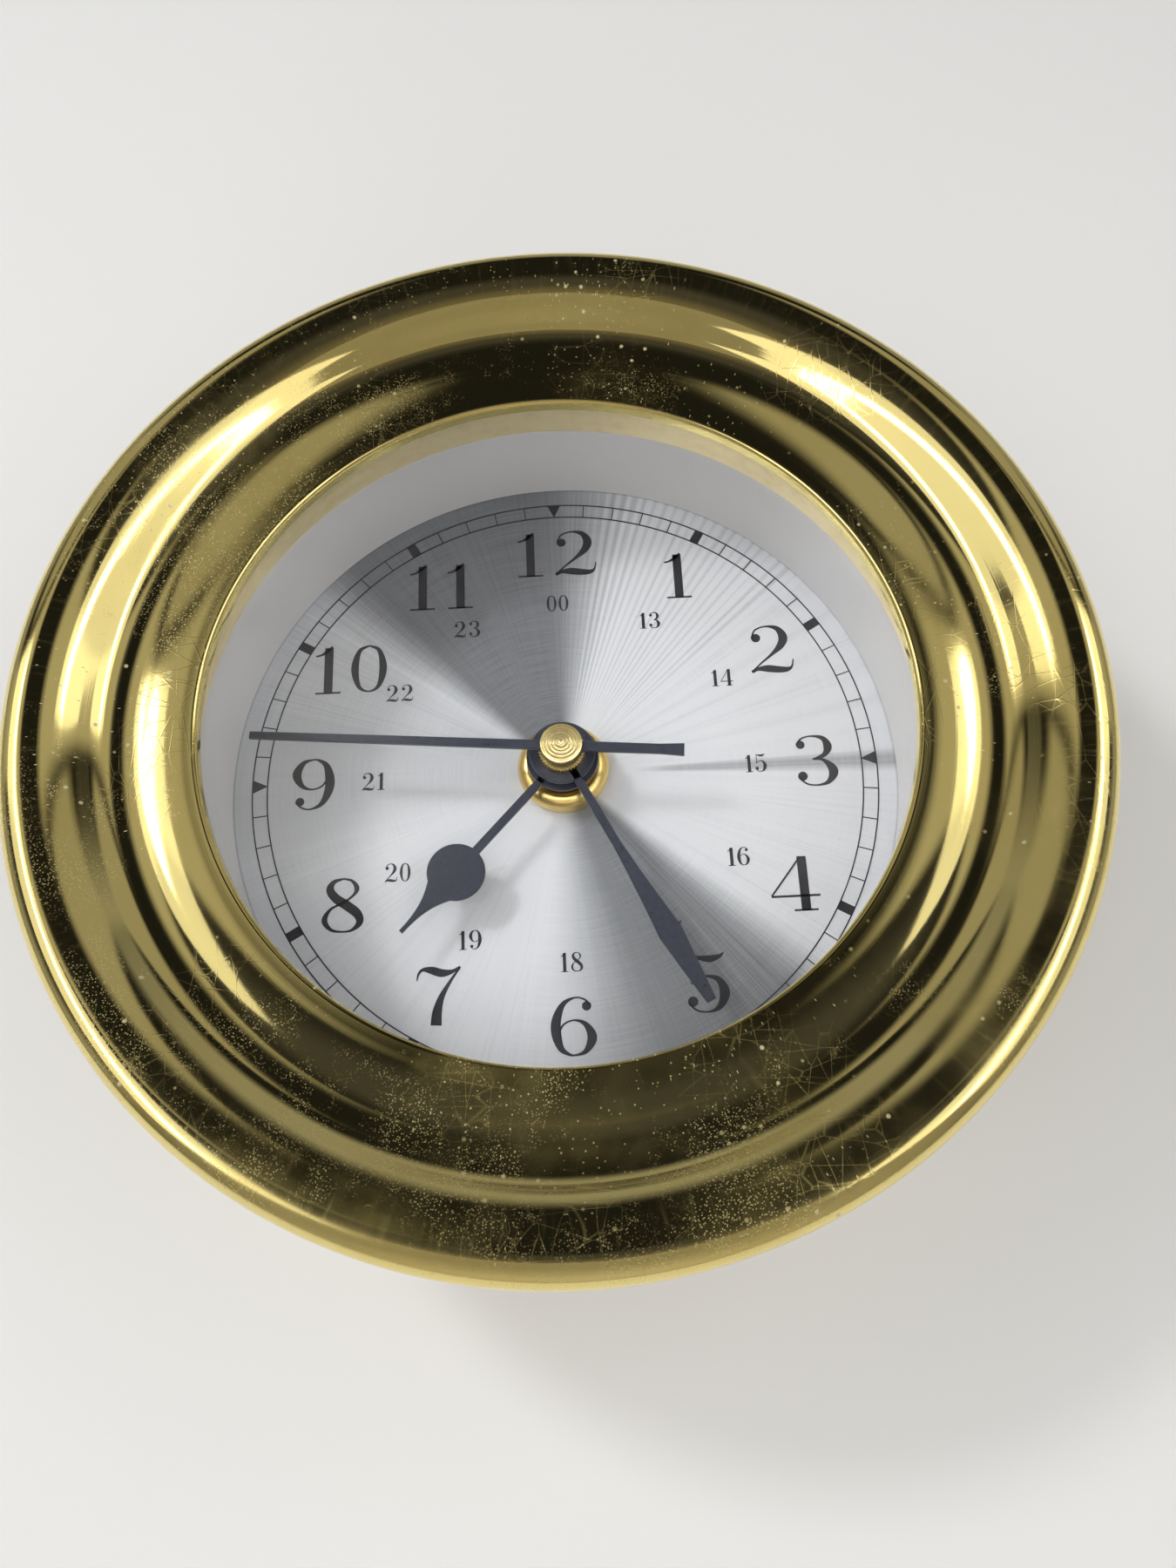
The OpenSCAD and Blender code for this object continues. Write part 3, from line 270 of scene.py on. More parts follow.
def polished():
    """Buffed brass under old lacquer: cloudy smears, hair scratches, rubbed patches and specks of dust."""
    brass = Finish("ring brass")
    angle, radius = brass.hour(), brass.radius()
    smear = brass.noise(70, 4)
    haze = (brass.noise(34, 4) - brass.z * 2.2).rise(0.50, 0.72)
    spokes = brass.noise(1, 4, 0.7, at=brass.joined(radius * 0.12, angle * 1.1, brass.depth * 60))
    streaks = spokes.rise(0.5, 0.78) * radius.rise(53, 58)
    buffed = brass.noise(1, 3, 0.65, at=brass.joined(radius * 2.4, angle * 0.035, brass.depth * 2400))
    # Scratches: thin cell walls, kept only in patches.
    short = brass.cells(520, "DISTANCE_TO_EDGE", brass.stretched(1, 0.5, 0.3)).rise(0.03, 0.0)
    level = brass.cells(480, "DISTANCE_TO_EDGE", brass.stretched(0.3, 0.5, 1)).rise(0.03, 0.0)
    hairs = (short + level) * brass.noise(60, 3).rise(0.46, 0.72) * 0.6
    # Dust: specks and grit that gather below and at the left, lint, and ticks along the radius.
    low = brass.z.rise(-0.010, -0.050) * 0.06 - brass.x * 1.1
    specks = brass.cells(1300).rise(0.19, 0.07) * (brass.noise(30, 2) + low).rise(0.5, 0.66) * 0.5
    grit = brass.cells(3600).rise(0.42, 0.14) * (brass.noise(75, 4, 0.7) + low).rise(0.54, 0.68) * 0.38
    lint = brass.cells(400, at=brass.stretched(1, 0.5, 1)).rise(0.12, 0.05)
    lint = lint * brass.noise(55, 2).rise(0.44, 0.60)
    ticks = brass.cells(1, at=brass.joined(radius * 0.5, angle * 1.4, brass.depth * 500)).rise(0.13, 0.04)
    ticks = ticks * brass.noise(50, 2).rise(0.5, 0.62)
    dust = (specks + grit + lint * 0.8 + ticks * 0.8).maths("MINIMUM", 1.0)
    film = streaks * 0.02 + haze * brass.noise(160, 4).rise(0.35, 0.75) * 0.05 + hairs * 0.07
    colour = brass.mix(smear.rise(0.35, 0.75) * 0.5, RING_BRASS, WORN_BRASS)
    roughness = haze * 0.13 + smear * 0.03 + hairs * 0.2 + streaks * 0.07 + dust * 0.4 + 0.055
    normal = brass.bump(brass.noise(900, 3), 0.00001, 0.10)
    normal = brass.bump(buffed, 0.000012, 0.2, onto=normal)
    normal = brass.bump(hairs, 0.00002, 0.25, onto=normal)
    return brass.feed(Base_Color=brass.mix(dust, colour, DUST), Roughness=roughness,
                      Metallic=1 - dust * 0.75 - film, Normal=normal)


RIM_R = 63.0
LIP_R = 41.7
RING_W = RIM_R - LIP_R
DIAL_Z = 21.8
LIP_Z = DIAL_Z + 22.8
LIP_ROUND = 0.6
LIP_RISE = 1.1
BEAD_R = LIP_R + 0.174 * RING_W
BEAD_END_R = LIP_R + 0.277 * RING_W
BEAD_Z = LIP_Z + 1.9
BEAD_CURVE = 1.03 * RING_W
BEAD_SLOPE = math.asin((BEAD_END_R - BEAD_R) / BEAD_CURVE)
VALLEY_CURVE = 0.47 * RING_W
COVE_CURVE = 0.225 * RING_W
STRAIGHT = 0.055 * RING_W
LAND = 0.046 * RING_W
COVE_START, COVE_SLOPE, LAND_SLOPE = (math.radians(angle) for angle in (16, 44, 13))
ROLL_R = 3.0
SKIRT_IN, SKIRT_OUT, SKIRT_Z = 57.3, 58.9, DIAL_Z + 11.0
DRUM_TOP = DIAL_Z + 21.0
BORE_R = 46.15
BORE_STEP_R = BORE_R + 1.6
WALL_TOP = DIAL_Z + 14.0
BORE_Z = WALL_TOP + 0.3
CHAMFER = 0.2


def ring_profile():
    """Lip, bead, valley, cove, shoulder, land, roll and skirt: arcs and straights that meet with one
    slope."""
    bead_from = math.degrees(math.asin((LIP_R + 2 * LIP_ROUND - BEAD_R) / BEAD_CURVE))
    valley = (BEAD_END_R + VALLEY_CURVE * math.sin(BEAD_SLOPE),
              BEAD_Z - BEAD_CURVE + (BEAD_CURVE + VALLEY_CURVE) * math.cos(BEAD_SLOPE))
    wider = VALLEY_CURVE - COVE_CURVE
    cove = (valley[0] + wider * math.sin(COVE_START), valley[1] - wider * math.cos(COVE_START))
    slope_x = cove[0] + COVE_CURVE * math.sin(COVE_SLOPE) + STRAIGHT * math.cos(COVE_SLOPE)
    slope_z = cove[1] - COVE_CURVE * math.cos(COVE_SLOPE) + STRAIGHT * math.sin(COVE_SLOPE)
    roll_x = RIM_R - ROLL_R
    land_x = roll_x - ROLL_R * math.sin(LAND_SLOPE) - LAND
    curve = (land_x - slope_x) / (math.sin(COVE_SLOPE) - math.sin(LAND_SLOPE))
    shoulder = (slope_x + curve * math.sin(COVE_SLOPE), slope_z - curve * math.cos(COVE_SLOPE))
    roll_z = shoulder[1] + (curve - ROLL_R) * math.cos(LAND_SLOPE) + LAND * math.tan(LAND_SLOPE)
    bead_end, cove_start, cove_end, land_end = (
        math.degrees(angle) for angle in (BEAD_SLOPE, COVE_START, COVE_SLOPE, LAND_SLOPE))
    outline = [(LIP_R, LIP_Z)] + arc(LIP_R + LIP_ROUND, LIP_Z + LIP_RISE, LIP_ROUND, -90, 0, 10)
    outline += arc(BEAD_R, BEAD_Z - BEAD_CURVE, BEAD_CURVE, bead_from, bead_end, 24)
    outline += arc(*valley, -VALLEY_CURVE, bead_end, -cove_start, 20)
    outline += arc(*cove, -COVE_CURVE, -cove_start, -cove_end, 20)
    outline += arc(*shoulder, curve, -cove_end, -land_end, 26)
    outline += arc(roll_x, roll_z, ROLL_R, -land_end, 180, 44)
    outline += [(SKIRT_OUT, roll_z - ROLL_R), (SKIRT_OUT, SKIRT_Z + CHAMFER), (SKIRT_OUT - CHAMFER, SKIRT_Z)]
    outline += [(SKIRT_IN, SKIRT_Z), (SKIRT_IN, DRUM_TOP), (BORE_STEP_R, DRUM_TOP), (BORE_STEP_R, BORE_Z)]
    return outline + [(BORE_R, BORE_Z), (BORE_R, LIP_Z)]


piece("front_ring", [lathe(ring_profile(), 512)], polished(), "case", "bezel_ring", slot="polished_brass")


# Glass and its gasket
# A flat pane of float glass with ground edges lies in a thin black gasket against the lip's back.
# It is clean, with the faintest smears, and lets the lamps through to the dial.
GLASS_R = 45.85
GLASS_LOW = LIP_Z - 2.3
GLASS_TOP = LIP_Z - 0.5


def glass_finish():
    """Clear glass that throws no shadow: where a lamp's ray passes, it counts as open air."""
    pane = Finish("clear glass", Transmission_Weight=1.0, IOR=1.45, Base_Color=(0.985, 0.995, 0.99, 1))
    smears = pane.noise(60, 4).rise(0.5, 0.8) * 0.02
    pane.open_where(pane.node("ShaderNodeLightPath", out="Is Shadow Ray"))
    return pane.feed(Roughness=smears + 0.005, Normal=pane.bump(pane.noise(14, 1), 0.0002, 0.03))


def dress(material, *names):
    """Gives CAD nodes whose shape is right their finish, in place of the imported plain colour."""
    for name in names:
        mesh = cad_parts[name].data
        mesh.materials.clear()
        mesh.materials.append(material)


pane = [(0, GLASS_LOW), (GLASS_R - CHAMFER, GLASS_LOW), (GLASS_R, GLASS_LOW + CHAMFER),
        (GLASS_R, GLASS_TOP - CHAMFER), (GLASS_R - CHAMFER, GLASS_TOP), (0, GLASS_TOP)]
piece("glass_pane", [lathe(pane, 256)], glass_finish(), "case", "front_glass", slot="clear_glass")

rubber = Finish("black gasket")
bloom = rubber.noise(260, 4)
rubber.feed(Base_Color=rubber.mix(bloom, (0.02, 0.02, 0.02), (0.036, 0.036, 0.034)),
            Roughness=bloom * 0.2 + 0.65, Normal=rubber.bump(rubber.noise(3000, 2), 0.00004, 0.3))
dress(rubber.material, "glass_gasket", "rubber_washer")


# Sleeve and white wall
# Under the glass a plain brass sleeve lines the ring, and below it a white painted metal wall with a
# flange that lies on the dial's edge. Both are turned tube, pushed in from behind.
SLEEVE_R = 46.1
WELL_R = 44.6
DIAL_R = 55.1
FLANGE_Z = DIAL_Z + 1.2


def turned(name, tint, rough, pitch=9, stain=500, film=0.0):
    """Lathe-cut brass with pitch tool rings per mm about the axis, stains and a film of dull lacquer."""
    metal = Finish(name, Metallic=1.0)
    rings = metal.noise(1, 2, at=metal.joined(metal.radius() * pitch, metal.depth * pitch * 1000))
    dull = metal.noise(stain, 3).rise(0.4, 0.8)
    stained = tuple(tone * share for tone, share in zip(tint, (0.8, 0.74, 0.6)))
    metal.feed(Base_Color=metal.mix(dull * 0.5, tint, stained), Roughness=rings * 0.15 + rough,
               Normal=metal.bump(rings, 0.00004, 0.5))
    if film:
        metal.feed(Metallic=1 - (dull * 0.3 + 0.7) * film)
    return metal.material


sleeve_brass = turned("sleeve brass", (0.93, 0.79, 0.48), 0.28, 4, film=0.5)
sleeve = [(SLEEVE_R, WALL_TOP), (SLEEVE_R, GLASS_LOW), (WELL_R, GLASS_LOW), (WELL_R, WALL_TOP)]
piece("glass_sleeve_tube", [lathe(finer(sleeve, 1.5))], sleeve_brass, "case", "glass_sleeve",
      slot="inner_brass")

paint = Finish("white paint")
paint.feed(Base_Color=paint.mix(paint.noise(60, 3), (0.60, 0.59, 0.60), (0.56, 0.55, 0.545)),
           Roughness=paint.noise(300, 3) * 0.1 + 0.32,
           Normal=paint.bump(paint.noise(1500, 2), 0.00001, 0.1))
wall = [(WELL_R, WALL_TOP), (SLEEVE_R, WALL_TOP), (SLEEVE_R, FLANGE_Z), (DIAL_R, FLANGE_Z),
        (DIAL_R, DIAL_Z), (WELL_R, DIAL_Z)]
piece("white_well_wall", [lathe(finer(wall, 2))], paint.material, "case", "white_wall",
      slot="white_enamel")


# Dial
# A thin aluminium disc, silvered and brushed, held between the seat in the drum and the white wall's flange.
# Its bright and dark wedges about its centre, and the fine rays at their edges, are painted reflections.
DIAL_T = 0.8
HOLE_R = 4.05
SILVER_IN_DARK_REFLECTION = (0.072, 0.075, 0.083)
SILVER_IN_BRIGHT_REFLECTION = (0.60, 0.61, 0.645)
DIAL_SPOT = (0.7, 0.68, 0.62)


def silvered():
    """Painted reflections: bright and dark wedges by the angle round the dial and fans of fine rays at their
    edges. Also brushed rings, and a painted shade where the dial meets the white wall.
    """
    dial = Finish("silvered dial", Metallic=0.05)
    angle, radius = dial.hour(), dial.radius()
    turn = angle + angle.rise(0, -0.01) * 360
    # The painted reflection wedges: dark before and after 12 and between 4 and 6, grey about 9, and a thin
    # line of painted shade at 3.
    late_dark_reflection = angle.rise(-56, -41) * angle.rise(23, -4)
    early_dark_reflection = turn.rise(127, 139) * turn.rise(192, 160)
    grey = turn.rise(246, 268) * turn.rise(316, 300)
    at_three = angle.hump(90.4, 0.5, 2.2) * radius.rise(8, 16)
    # Painted highlights: fine rays of the brushing, stronger in fans about 1, 4, 7 and 10, and a wide sheen
    # near 2.
    fans = angle.hump(38, 34, 8) + turn.hump(118, 26, 8) + turn.hump(222, 26, 12) + turn.hump(300, 12, 8)
    rays = dial.noise(1, 4, 0.75, at=dial.joined(angle * 1.7, radius * 0.02)) - 0.5
    rays = rays * 1.6 + (angle * 3.1 + rays * 3).maths("SINE") * angle.hump(30, 16, 8) * 0.5
    broad_sheen = (angle * (math.tau / 6.2) + 0.6).maths("SINE") * angle.hump(58, 20, 10)
    rings = dial.noise(1, 3, at=dial.joined(radius * 5, angle * 0.05))
    light = 1 - late_dark_reflection * 0.86 - early_dark_reflection * 0.80 - grey * 0.26 - at_three * 0.5
    light = light + rays * (fans * 0.26 + 0.11) * radius.rise(5, 15) + broad_sheen * 0.07 + (rings - 0.5) * 0.22
    # Painted shade: the dial goes darker in a thin ring where it meets the white wall.
    shaded_edge = radius.rise(WELL_R + 0.05, WELL_R - 0.4) * 0.4 + 0.6
    colour = dial.mix(light.maths("MAXIMUM", 0.0) * shaded_edge, SILVER_IN_DARK_REFLECTION, SILVER_IN_BRIGHT_REFLECTION)
    spots = dial.cells(420).rise(0.055, 0.03) * dial.noise(30, 2).rise(0.5, 0.7)
    return dial.feed(Base_Color=dial.mix(spots * 0.6, colour, DIAL_SPOT), Roughness=rings * 0.12 + 0.34,
                     Normal=dial.bump(rings, 0.00003, 0.10))


plate = [(HOLE_R, DIAL_Z - DIAL_T), (DIAL_R, DIAL_Z - DIAL_T), (DIAL_R, DIAL_Z), (HOLE_R, DIAL_Z)]
piece("silvered_dial_plate", [lathe(finer(plate, 3), 256)], silvered(), "case", "dial_plate",
      slot="silvered_dial")


# Minute track and numerals
# Black ink, screen printed on the dial: a railway track with blocks at the hours and triangles at the
# quarters, large numerals with thick and hair strokes for 1 to 12, and small ones for 13 to 23 and 00.
INK_LOW, INK_TOP = DIAL_Z, DIAL_Z + 0.06


def brush(points, steps):
    """A raised ribbon of ink through points of (x, y, width): a cubic curve that passes each of them
    parallel to the line between its neighbours, with an edge half the width away on either side."""
    p = np.array(points, float)
    p = np.concatenate([2 * p[:1] - p[1:2], p, 2 * p[-1:] - p[-2:-1]])
    a, b, c, d = (p[n:len(p) - 3 + n, None] for n in range(4))
    t = np.linspace(0, 1, steps, endpoint=False)[None, :, None]
    curve = b + (c - a) * t / 2 + (2 * a - 5 * b + 4 * c - d) * t**2 / 2
    curve = curve + (3 * b - a - 3 * c + d) * t**3 / 2
    curve = np.concatenate([curve.reshape(-1, 3), p[-2:-1]])
    way = np.gradient(curve[:, :2], axis=0)
    way /= np.linalg.norm(way, axis=1)[:, None]
    side = np.stack([-way[:, 1], way[:, 0]], axis=-1) * np.maximum(curve[:, 2:], 0.01) / 2
    edge = np.stack([side, side, -side, -side], axis=1)
    edge = np.concatenate([0 * edge[:1], edge, 0 * edge[:1]])
    middle = np.concatenate([curve[:1, :2], curve[:, :2], curve[-1:, :2]])[:, None] + edge
    height = np.array([INK_LOW, INK_TOP, INK_TOP, INK_LOW]) + 0 * middle[..., 0]
    height[[0, -1]] = INK_TOP
    return shell(clock(middle[..., 0], middle[..., 1], height), round_u=False)


def band(inner, outer, count, middle=(0, 0)):
    """A flat ring of ink, or a round blot where inner is 0."""
    return lathe([(inner, INK_LOW), (outer, INK_LOW), (outer, INK_TOP), (inner, INK_TOP)], count, middle)


# A figure is its width and its strokes, all as shares of its height: a list of (x, y, width) points is
# a stroke of the brush, and a single (x, y, radius) is a ball.
THICK = 0.165
HAIR = 0.032
FIGURES = {
    "0": (0.71, [
        [(0, 0.984, HAIR), (-0.19, 0.87, 0.08), (-0.27, 0.5, 0.145), (-0.19, 0.13, 0.08), (0, 0.016, HAIR),
         (0.19, 0.13, 0.08), (0.27, 0.5, 0.145), (0.19, 0.87, 0.08), (0, 0.984, HAIR)]]),
    "1": (0.52, [
        [(0.06, 0, THICK), (0.06, 0.97, THICK)],
        [(-0.19, 0.8, HAIR), (-0.08, 0.83, 0.04), (0.03, 0.9, 0.07), (0.125, 0.995, HAIR)],
        [(-0.18, 0.017, HAIR), (0.3, 0.017, HAIR)]]),
    "2": (0.9, [
        [(-0.33, 0.75, HAIR), (-0.25, 0.915, HAIR), (-0.04, 0.984, HAIR), (0.17, 0.93, 0.1),
         (0.27, 0.75, 0.17), (0.21, 0.57, 0.14), (0.03, 0.39, 0.06), (-0.2, 0.2, HAIR), (-0.38, 0.03, HAIR)],
        [(-0.38, 0.03, 0.06), (-0.26, 0.085, 0.07), (-0.08, 0.09, 0.14), (0.14, 0.06, 0.13),
         (0.3, 0.06, 0.09), (0.385, 0.12, 0.04), (0.42, 0.27, 0.02)],
        (-0.25, 0.745, 0.088)]),
    "3": (0.9, [
        [(-0.33, 0.83, HAIR), (-0.22, 0.945, HAIR), (-0.03, 0.984, HAIR), (0.17, 0.93, 0.09),
         (0.245, 0.765, 0.155), (0.17, 0.61, 0.09), (-0.02, 0.53, HAIR)],
        [(-0.06, 0.53, HAIR), (0.14, 0.5, 0.06), (0.3, 0.29, 0.175), (0.2, 0.08, 0.09), (0, 0.016, HAIR),
         (-0.2, 0.045, HAIR), (-0.34, 0.17, HAIR)],
        (-0.255, 0.82, 0.08), (-0.27, 0.2, 0.088)]),
    "4": (0.94, [
        [(0.15, 0, THICK), (0.15, 1.0, THICK)],
        [(0.12, 0.985, HAIR), (-0.44, 0.285, HAIR)],
        [(-0.445, 0.275, HAIR * 1.2), (0.42, 0.275, HAIR * 1.2)],
        [(-0.06, 0.017, HAIR), (0.36, 0.017, HAIR)]]),
    "5": (0.88, [
        [(-0.26, 0.99, 0.02), (-0.1, 0.95, 0.08), (0.08, 0.93, 0.12), (0.25, 0.97, 0.07), (0.32, 1.03, 0.02)],
        [(-0.26, 0.98, HAIR), (-0.27, 0.5, HAIR)],
        [(-0.27, 0.5, HAIR), (-0.14, 0.6, HAIR), (0.03, 0.625, 0.05), (0.21, 0.55, 0.11),
         (0.29, 0.33, 0.175), (0.19, 0.1, 0.1), (0, 0.016, HAIR), (-0.2, 0.045, HAIR), (-0.34, 0.17, HAIR)],
        (-0.265, 0.2, 0.088)]),
    "6": (0.9, [
        [(0.3, 0.85, HAIR), (0.18, 0.955, HAIR), (0.02, 0.984, HAIR), (-0.18, 0.88, 0.09), (-0.3, 0.62, 0.16),
         (-0.31, 0.38, 0.17), (-0.24, 0.14, 0.11), (-0.1, 0.03, 0.05), (0.02, 0.016, HAIR),
         (0.19, 0.08, 0.09), (0.3, 0.3, 0.165), (0.2, 0.52, 0.09), (0.02, 0.6, HAIR), (-0.16, 0.55, HAIR),
         (-0.26, 0.42, HAIR)],
        (0.225, 0.835, 0.08)]),
    "7": (0.88, [
        [(-0.375, 0.78, 0.02), (-0.345, 0.9, 0.04), (-0.27, 0.97, 0.06), (-0.12, 0.955, 0.13),
         (0.06, 0.9, 0.14), (0.24, 0.92, 0.07), (0.38, 1.0, HAIR)],
        [(0.38, 0.99, HAIR), (0.22, 0.77, 0.05), (0.06, 0.5, 0.1), (-0.02, 0.24, 0.16), (-0.04, 0.0, 0.19)]]),
    "8": (0.9, [
        [(0, 0.984, HAIR), (-0.17, 0.93, 0.08), (-0.235, 0.79, 0.14), (-0.13, 0.63, 0.16), (0.07, 0.49, 0.17),
         (0.26, 0.33, 0.16), (0.3, 0.17, 0.12), (0.17, 0.04, 0.05), (0, 0.016, HAIR), (-0.2, 0.06, 0.06),
         (-0.32, 0.23, 0.1), (-0.22, 0.43, 0.05), (0, 0.54, HAIR), (0.19, 0.68, 0.05), (0.24, 0.81, 0.09),
         (0.15, 0.94, 0.05), (0, 0.984, HAIR)]]),
}
FIGURES["9"] = (0.9, [
    [(-x, 1 - y, w) for x, y, w in part] if isinstance(part, list) else (-part[0], 1 - part[1], part[2])
    for part in FIGURES["6"][1]])


def number(text, radius, hour, height, narrow, gap, steps):
    """Upright figures side by side, their middle at a radius and an hour of the dial."""
    widths = [FIGURES[figure][0] * height * narrow for figure in text]
    left = radius * math.sin(hour * math.pi / 6) - (sum(widths) + gap * (len(text) - 1)) / 2
    low = radius * math.cos(hour * math.pi / 6) - height / 2
    shells = []
    for figure, width in zip(text, widths):
        middle = left + width / 2
        for part in FIGURES[figure][1]:
            if isinstance(part, list):
                points = [(middle + x * height * narrow, low + y * height, w * height) for x, y, w in part]
                shells.append(brush(points, steps))
            else:
                x, y, r = part
                shells.append(band(0, r * height, 28, (middle + x * height * narrow, low + y * height)))
        left += width + gap
    return shells


def printed():
    """Matt black ink, a little thin in places, with a fine grain."""
    ink = Finish("dial ink")
    thin = ink.noise(400, 3)
    return ink.feed(Base_Color=ink.mix(thin, (0.008, 0.008, 0.011), (0.026, 0.026, 0.032)),
                    Roughness=thin * 0.2 + 0.4, Normal=ink.bump(ink.noise(2500, 2), 0.00001, 0.2))


TRACK_IN, TRACK_OUT = 40.0, 42.0
LINE = 0.17
HOUR_BLOCK = 1.3
QUARTER_WIDE, QUARTER_TIP = 1.9, 0.04
HOURS_R, HOURS_TALL, HOURS_GAP = 33.9, 7.3, 1.6
SMALL_R, SMALL_TALL, SMALL_NARROW, SMALL_GAP = 25.8, 2.5, 0.78, 0.3

ink = printed()
track = [band(r - LINE / 2, r + LINE / 2, 512) for r in (TRACK_IN, TRACK_OUT)]
for minute in range(60):
    t = minute * math.pi / 30
    wide = tip = LINE * 0.8
    if minute % 15 == 0:
        wide, tip = QUARTER_WIDE, QUARTER_TIP
    elif minute % 5 == 0:
        wide = tip = HOUR_BLOCK
    ends = ((TRACK_OUT, wide), (TRACK_IN, tip))
    track.append(brush([(r * math.sin(t), r * math.cos(t), w) for r, w in ends], 1))
piece("minute_track_ink", track, ink, "case", "minute_track", slot="dial_ink")

large, small = [], []
for hour in range(1, 13):
    large += number(str(hour), HOURS_R, hour, HOURS_TALL, 1.0, HOURS_GAP, 9)
    late = str(hour + 12) if hour < 12 else "00"
    small += number(late, SMALL_R, hour, SMALL_TALL, SMALL_NARROW, SMALL_GAP, 6)
piece("hour_numerals", large, ink, "case", slot="dial_ink")
piece("afternoon_numerals", small, ink, "case", slot="dial_ink")


# Dial nut and centre bush
# The movement's threaded brass bush comes up through the dial. A rounded brass nut with a small inner
# step holds it. Both are turned from bar and show fine rings from the tool.
NUT_R = 6.1
NUT_ROUND = 1.6
NUT_SIDE, NUT_TOP = DIAL_Z + 1.9, DIAL_Z + 3.4
STEP_OUT, STEP_IN, STEP_Z = 4.9, 4.5, DIAL_Z + 2.5

nut_brass = turned("turned brass", (0.84, 0.62, 0.24), 0.16)
nut = [(HOLE_R, DIAL_Z), (NUT_R - 0.3, DIAL_Z)]
nut += arc(NUT_R - NUT_ROUND, NUT_SIDE, NUT_ROUND, 90, 0, 16)
nut += [(STEP_OUT + 0.05, NUT_TOP), (STEP_OUT, STEP_Z + 0.1), (STEP_IN, STEP_Z), (HOLE_R, STEP_Z + 0.4)]
piece("dial_nut_ring", [lathe(nut, 192)], nut_brass, "case", "dial_nut", slot="turned_brass")
dress(nut_brass, "centre_bush", "second_tube")


# Hour hand
# Stamped from sheet steel and painted satin black: a round hub, a slim stem, a disc, and a point that
# the disc's sides run into in hollow curves. It presses onto the hour tube, over a black collet.
HAND_T = 0.5
HAND_EDGE = 0.09


def slate():
    """Satin black hand paint, which looks slate grey where it mirrors the room, with a fine grain."""
    paint = Finish("hand paint", Specular_IOR_Level=0.55)
    grain = paint.noise(1500, 3)
    return paint.feed(Base_Color=paint.mix(grain, (0.017, 0.019, 0.028), (0.044, 0.048, 0.068)),
                      Roughness=grain * 0.12 + 0.24, Normal=paint.bump(grain, 0.00003, 0.25))


def blade(places, widths, angle, low):
    """A flat hand: across the way it points, a section with chamfered upper edges; along it, one station
    at each of the places with its own width. It is turned clockwise from 12 and ends in closed tips."""
    y, half = np.asarray(places, float)[:, None], np.asarray(widths, float)[:, None] / 2
    cut = np.minimum(HAND_EDGE, half * 0.6)
    top = low + HAND_T
    x = np.concatenate([-half, -half, cut - half, half - cut, half, half], axis=1)
    h = np.array([low, top - HAND_EDGE, top, top, top - HAND_EDGE, low]) + 0 * x
    x = np.concatenate([0 * x[:1], x, 0 * x[:1]])
    tip = 0 * h[:1] + low + HAND_T / 2
    h = np.concatenate([tip, h, tip])
    y = np.concatenate([y[:1], y, y[-1:]])
    t = math.radians(angle)
    points = clock(x * math.cos(t) + y * math.sin(t), y * math.cos(t) - x * math.sin(t), h)
    return shell(points, round_u=False)


def hub(radius, hole, low):
    """A hand's round hub with its hole and a chamfered upper edge."""
    top = low + HAND_T
    outline = [(hole, low), (radius, low), (radius, top - HAND_EDGE), (radius - HAND_EDGE, top), (hole, top)]
    return lathe(outline, 128)


HOUR_Z = DIAL_Z + 5.3
HOUR_TURN = 223.2
HOUR_HUB, TUBE_R = 4.7, 2.51
HOUR_TIP = 30.5
DISC_AT = 20.4
DISC_R = 3.7
DISC_START, DISC_END = DISC_AT - DISC_R, DISC_AT + DISC_R
STEM_FROM, STEM_HALF = 2.6, 0.55
POINT_AT = DISC_AT + DISC_R / 3
POINT_HALF, TIP_HALF, HOLLOW = 0.85 * DISC_R, 0.25, 2.6

hand_paint = slate()
quarter = np.linspace(0, np.pi / 2, 24)
y = np.concatenate([np.linspace(STEM_FROM, DISC_START, 12), DISC_AT - DISC_R * np.cos(quarter)[1:],
                    DISC_AT + DISC_R * np.sin(quarter)[1:], np.linspace(DISC_END + 0.2, HOUR_TIP, 24)])
disc = np.sqrt(np.maximum(DISC_R**2 - (y - DISC_AT) ** 2, 0))
share = np.clip((y - POINT_AT) / (HOUR_TIP - POINT_AT), 0, 1)
point = np.where(y > POINT_AT, TIP_HALF + POINT_HALF * (1 - share) ** HOLLOW, 0)
width = 2 * np.maximum(np.maximum(disc, point), np.where(y < DISC_AT, STEM_HALF, 0))
piece("hour_hand_blade", [hub(HOUR_HUB, TUBE_R, HOUR_Z), blade(y, width, HOUR_TURN, HOUR_Z)], hand_paint,
      "hour", "hour_hand", slot="hand_black")
dress(hand_paint, "hour_collet", "minute_collet")


# Minute hand
# The same sheet and paint: a slim stem that widens to the outer third and tapers to a blunt tip.
MINUTE_Z = DIAL_Z + 6.9
MINUTE_TURN = 153.0
MINUTE_HUB, PIPE_R = 4.25, 1.61
STEM_END, WIDEST_AT, MINUTE_TIP = 13.6, 27.2, 36.8
STEM_W, WIDEST_W, TIP_W = 1.1, 3.1, 1.2

y = np.concatenate([np.linspace(1.7, STEM_END, 6), np.linspace(STEM_END, WIDEST_AT, 24)[1:],
                    np.linspace(WIDEST_AT, MINUTE_TIP, 10)[1:]])
share = np.clip((y - STEM_END) / (WIDEST_AT - STEM_END), 0, 1)
widening = STEM_W + (WIDEST_W - STEM_W) * share**1.3
tapering = TIP_W + (WIDEST_W - TIP_W) * (MINUTE_TIP - y) / (MINUTE_TIP - WIDEST_AT)
width = np.where(y < WIDEST_AT, widening, tapering)
shells = [hub(MINUTE_HUB, PIPE_R, MINUTE_Z), blade(y, width, MINUTE_TURN, MINUTE_Z)]
piece("minute_hand_blade", shells, hand_paint, "minute", "minute_hand", slot="hand_black")


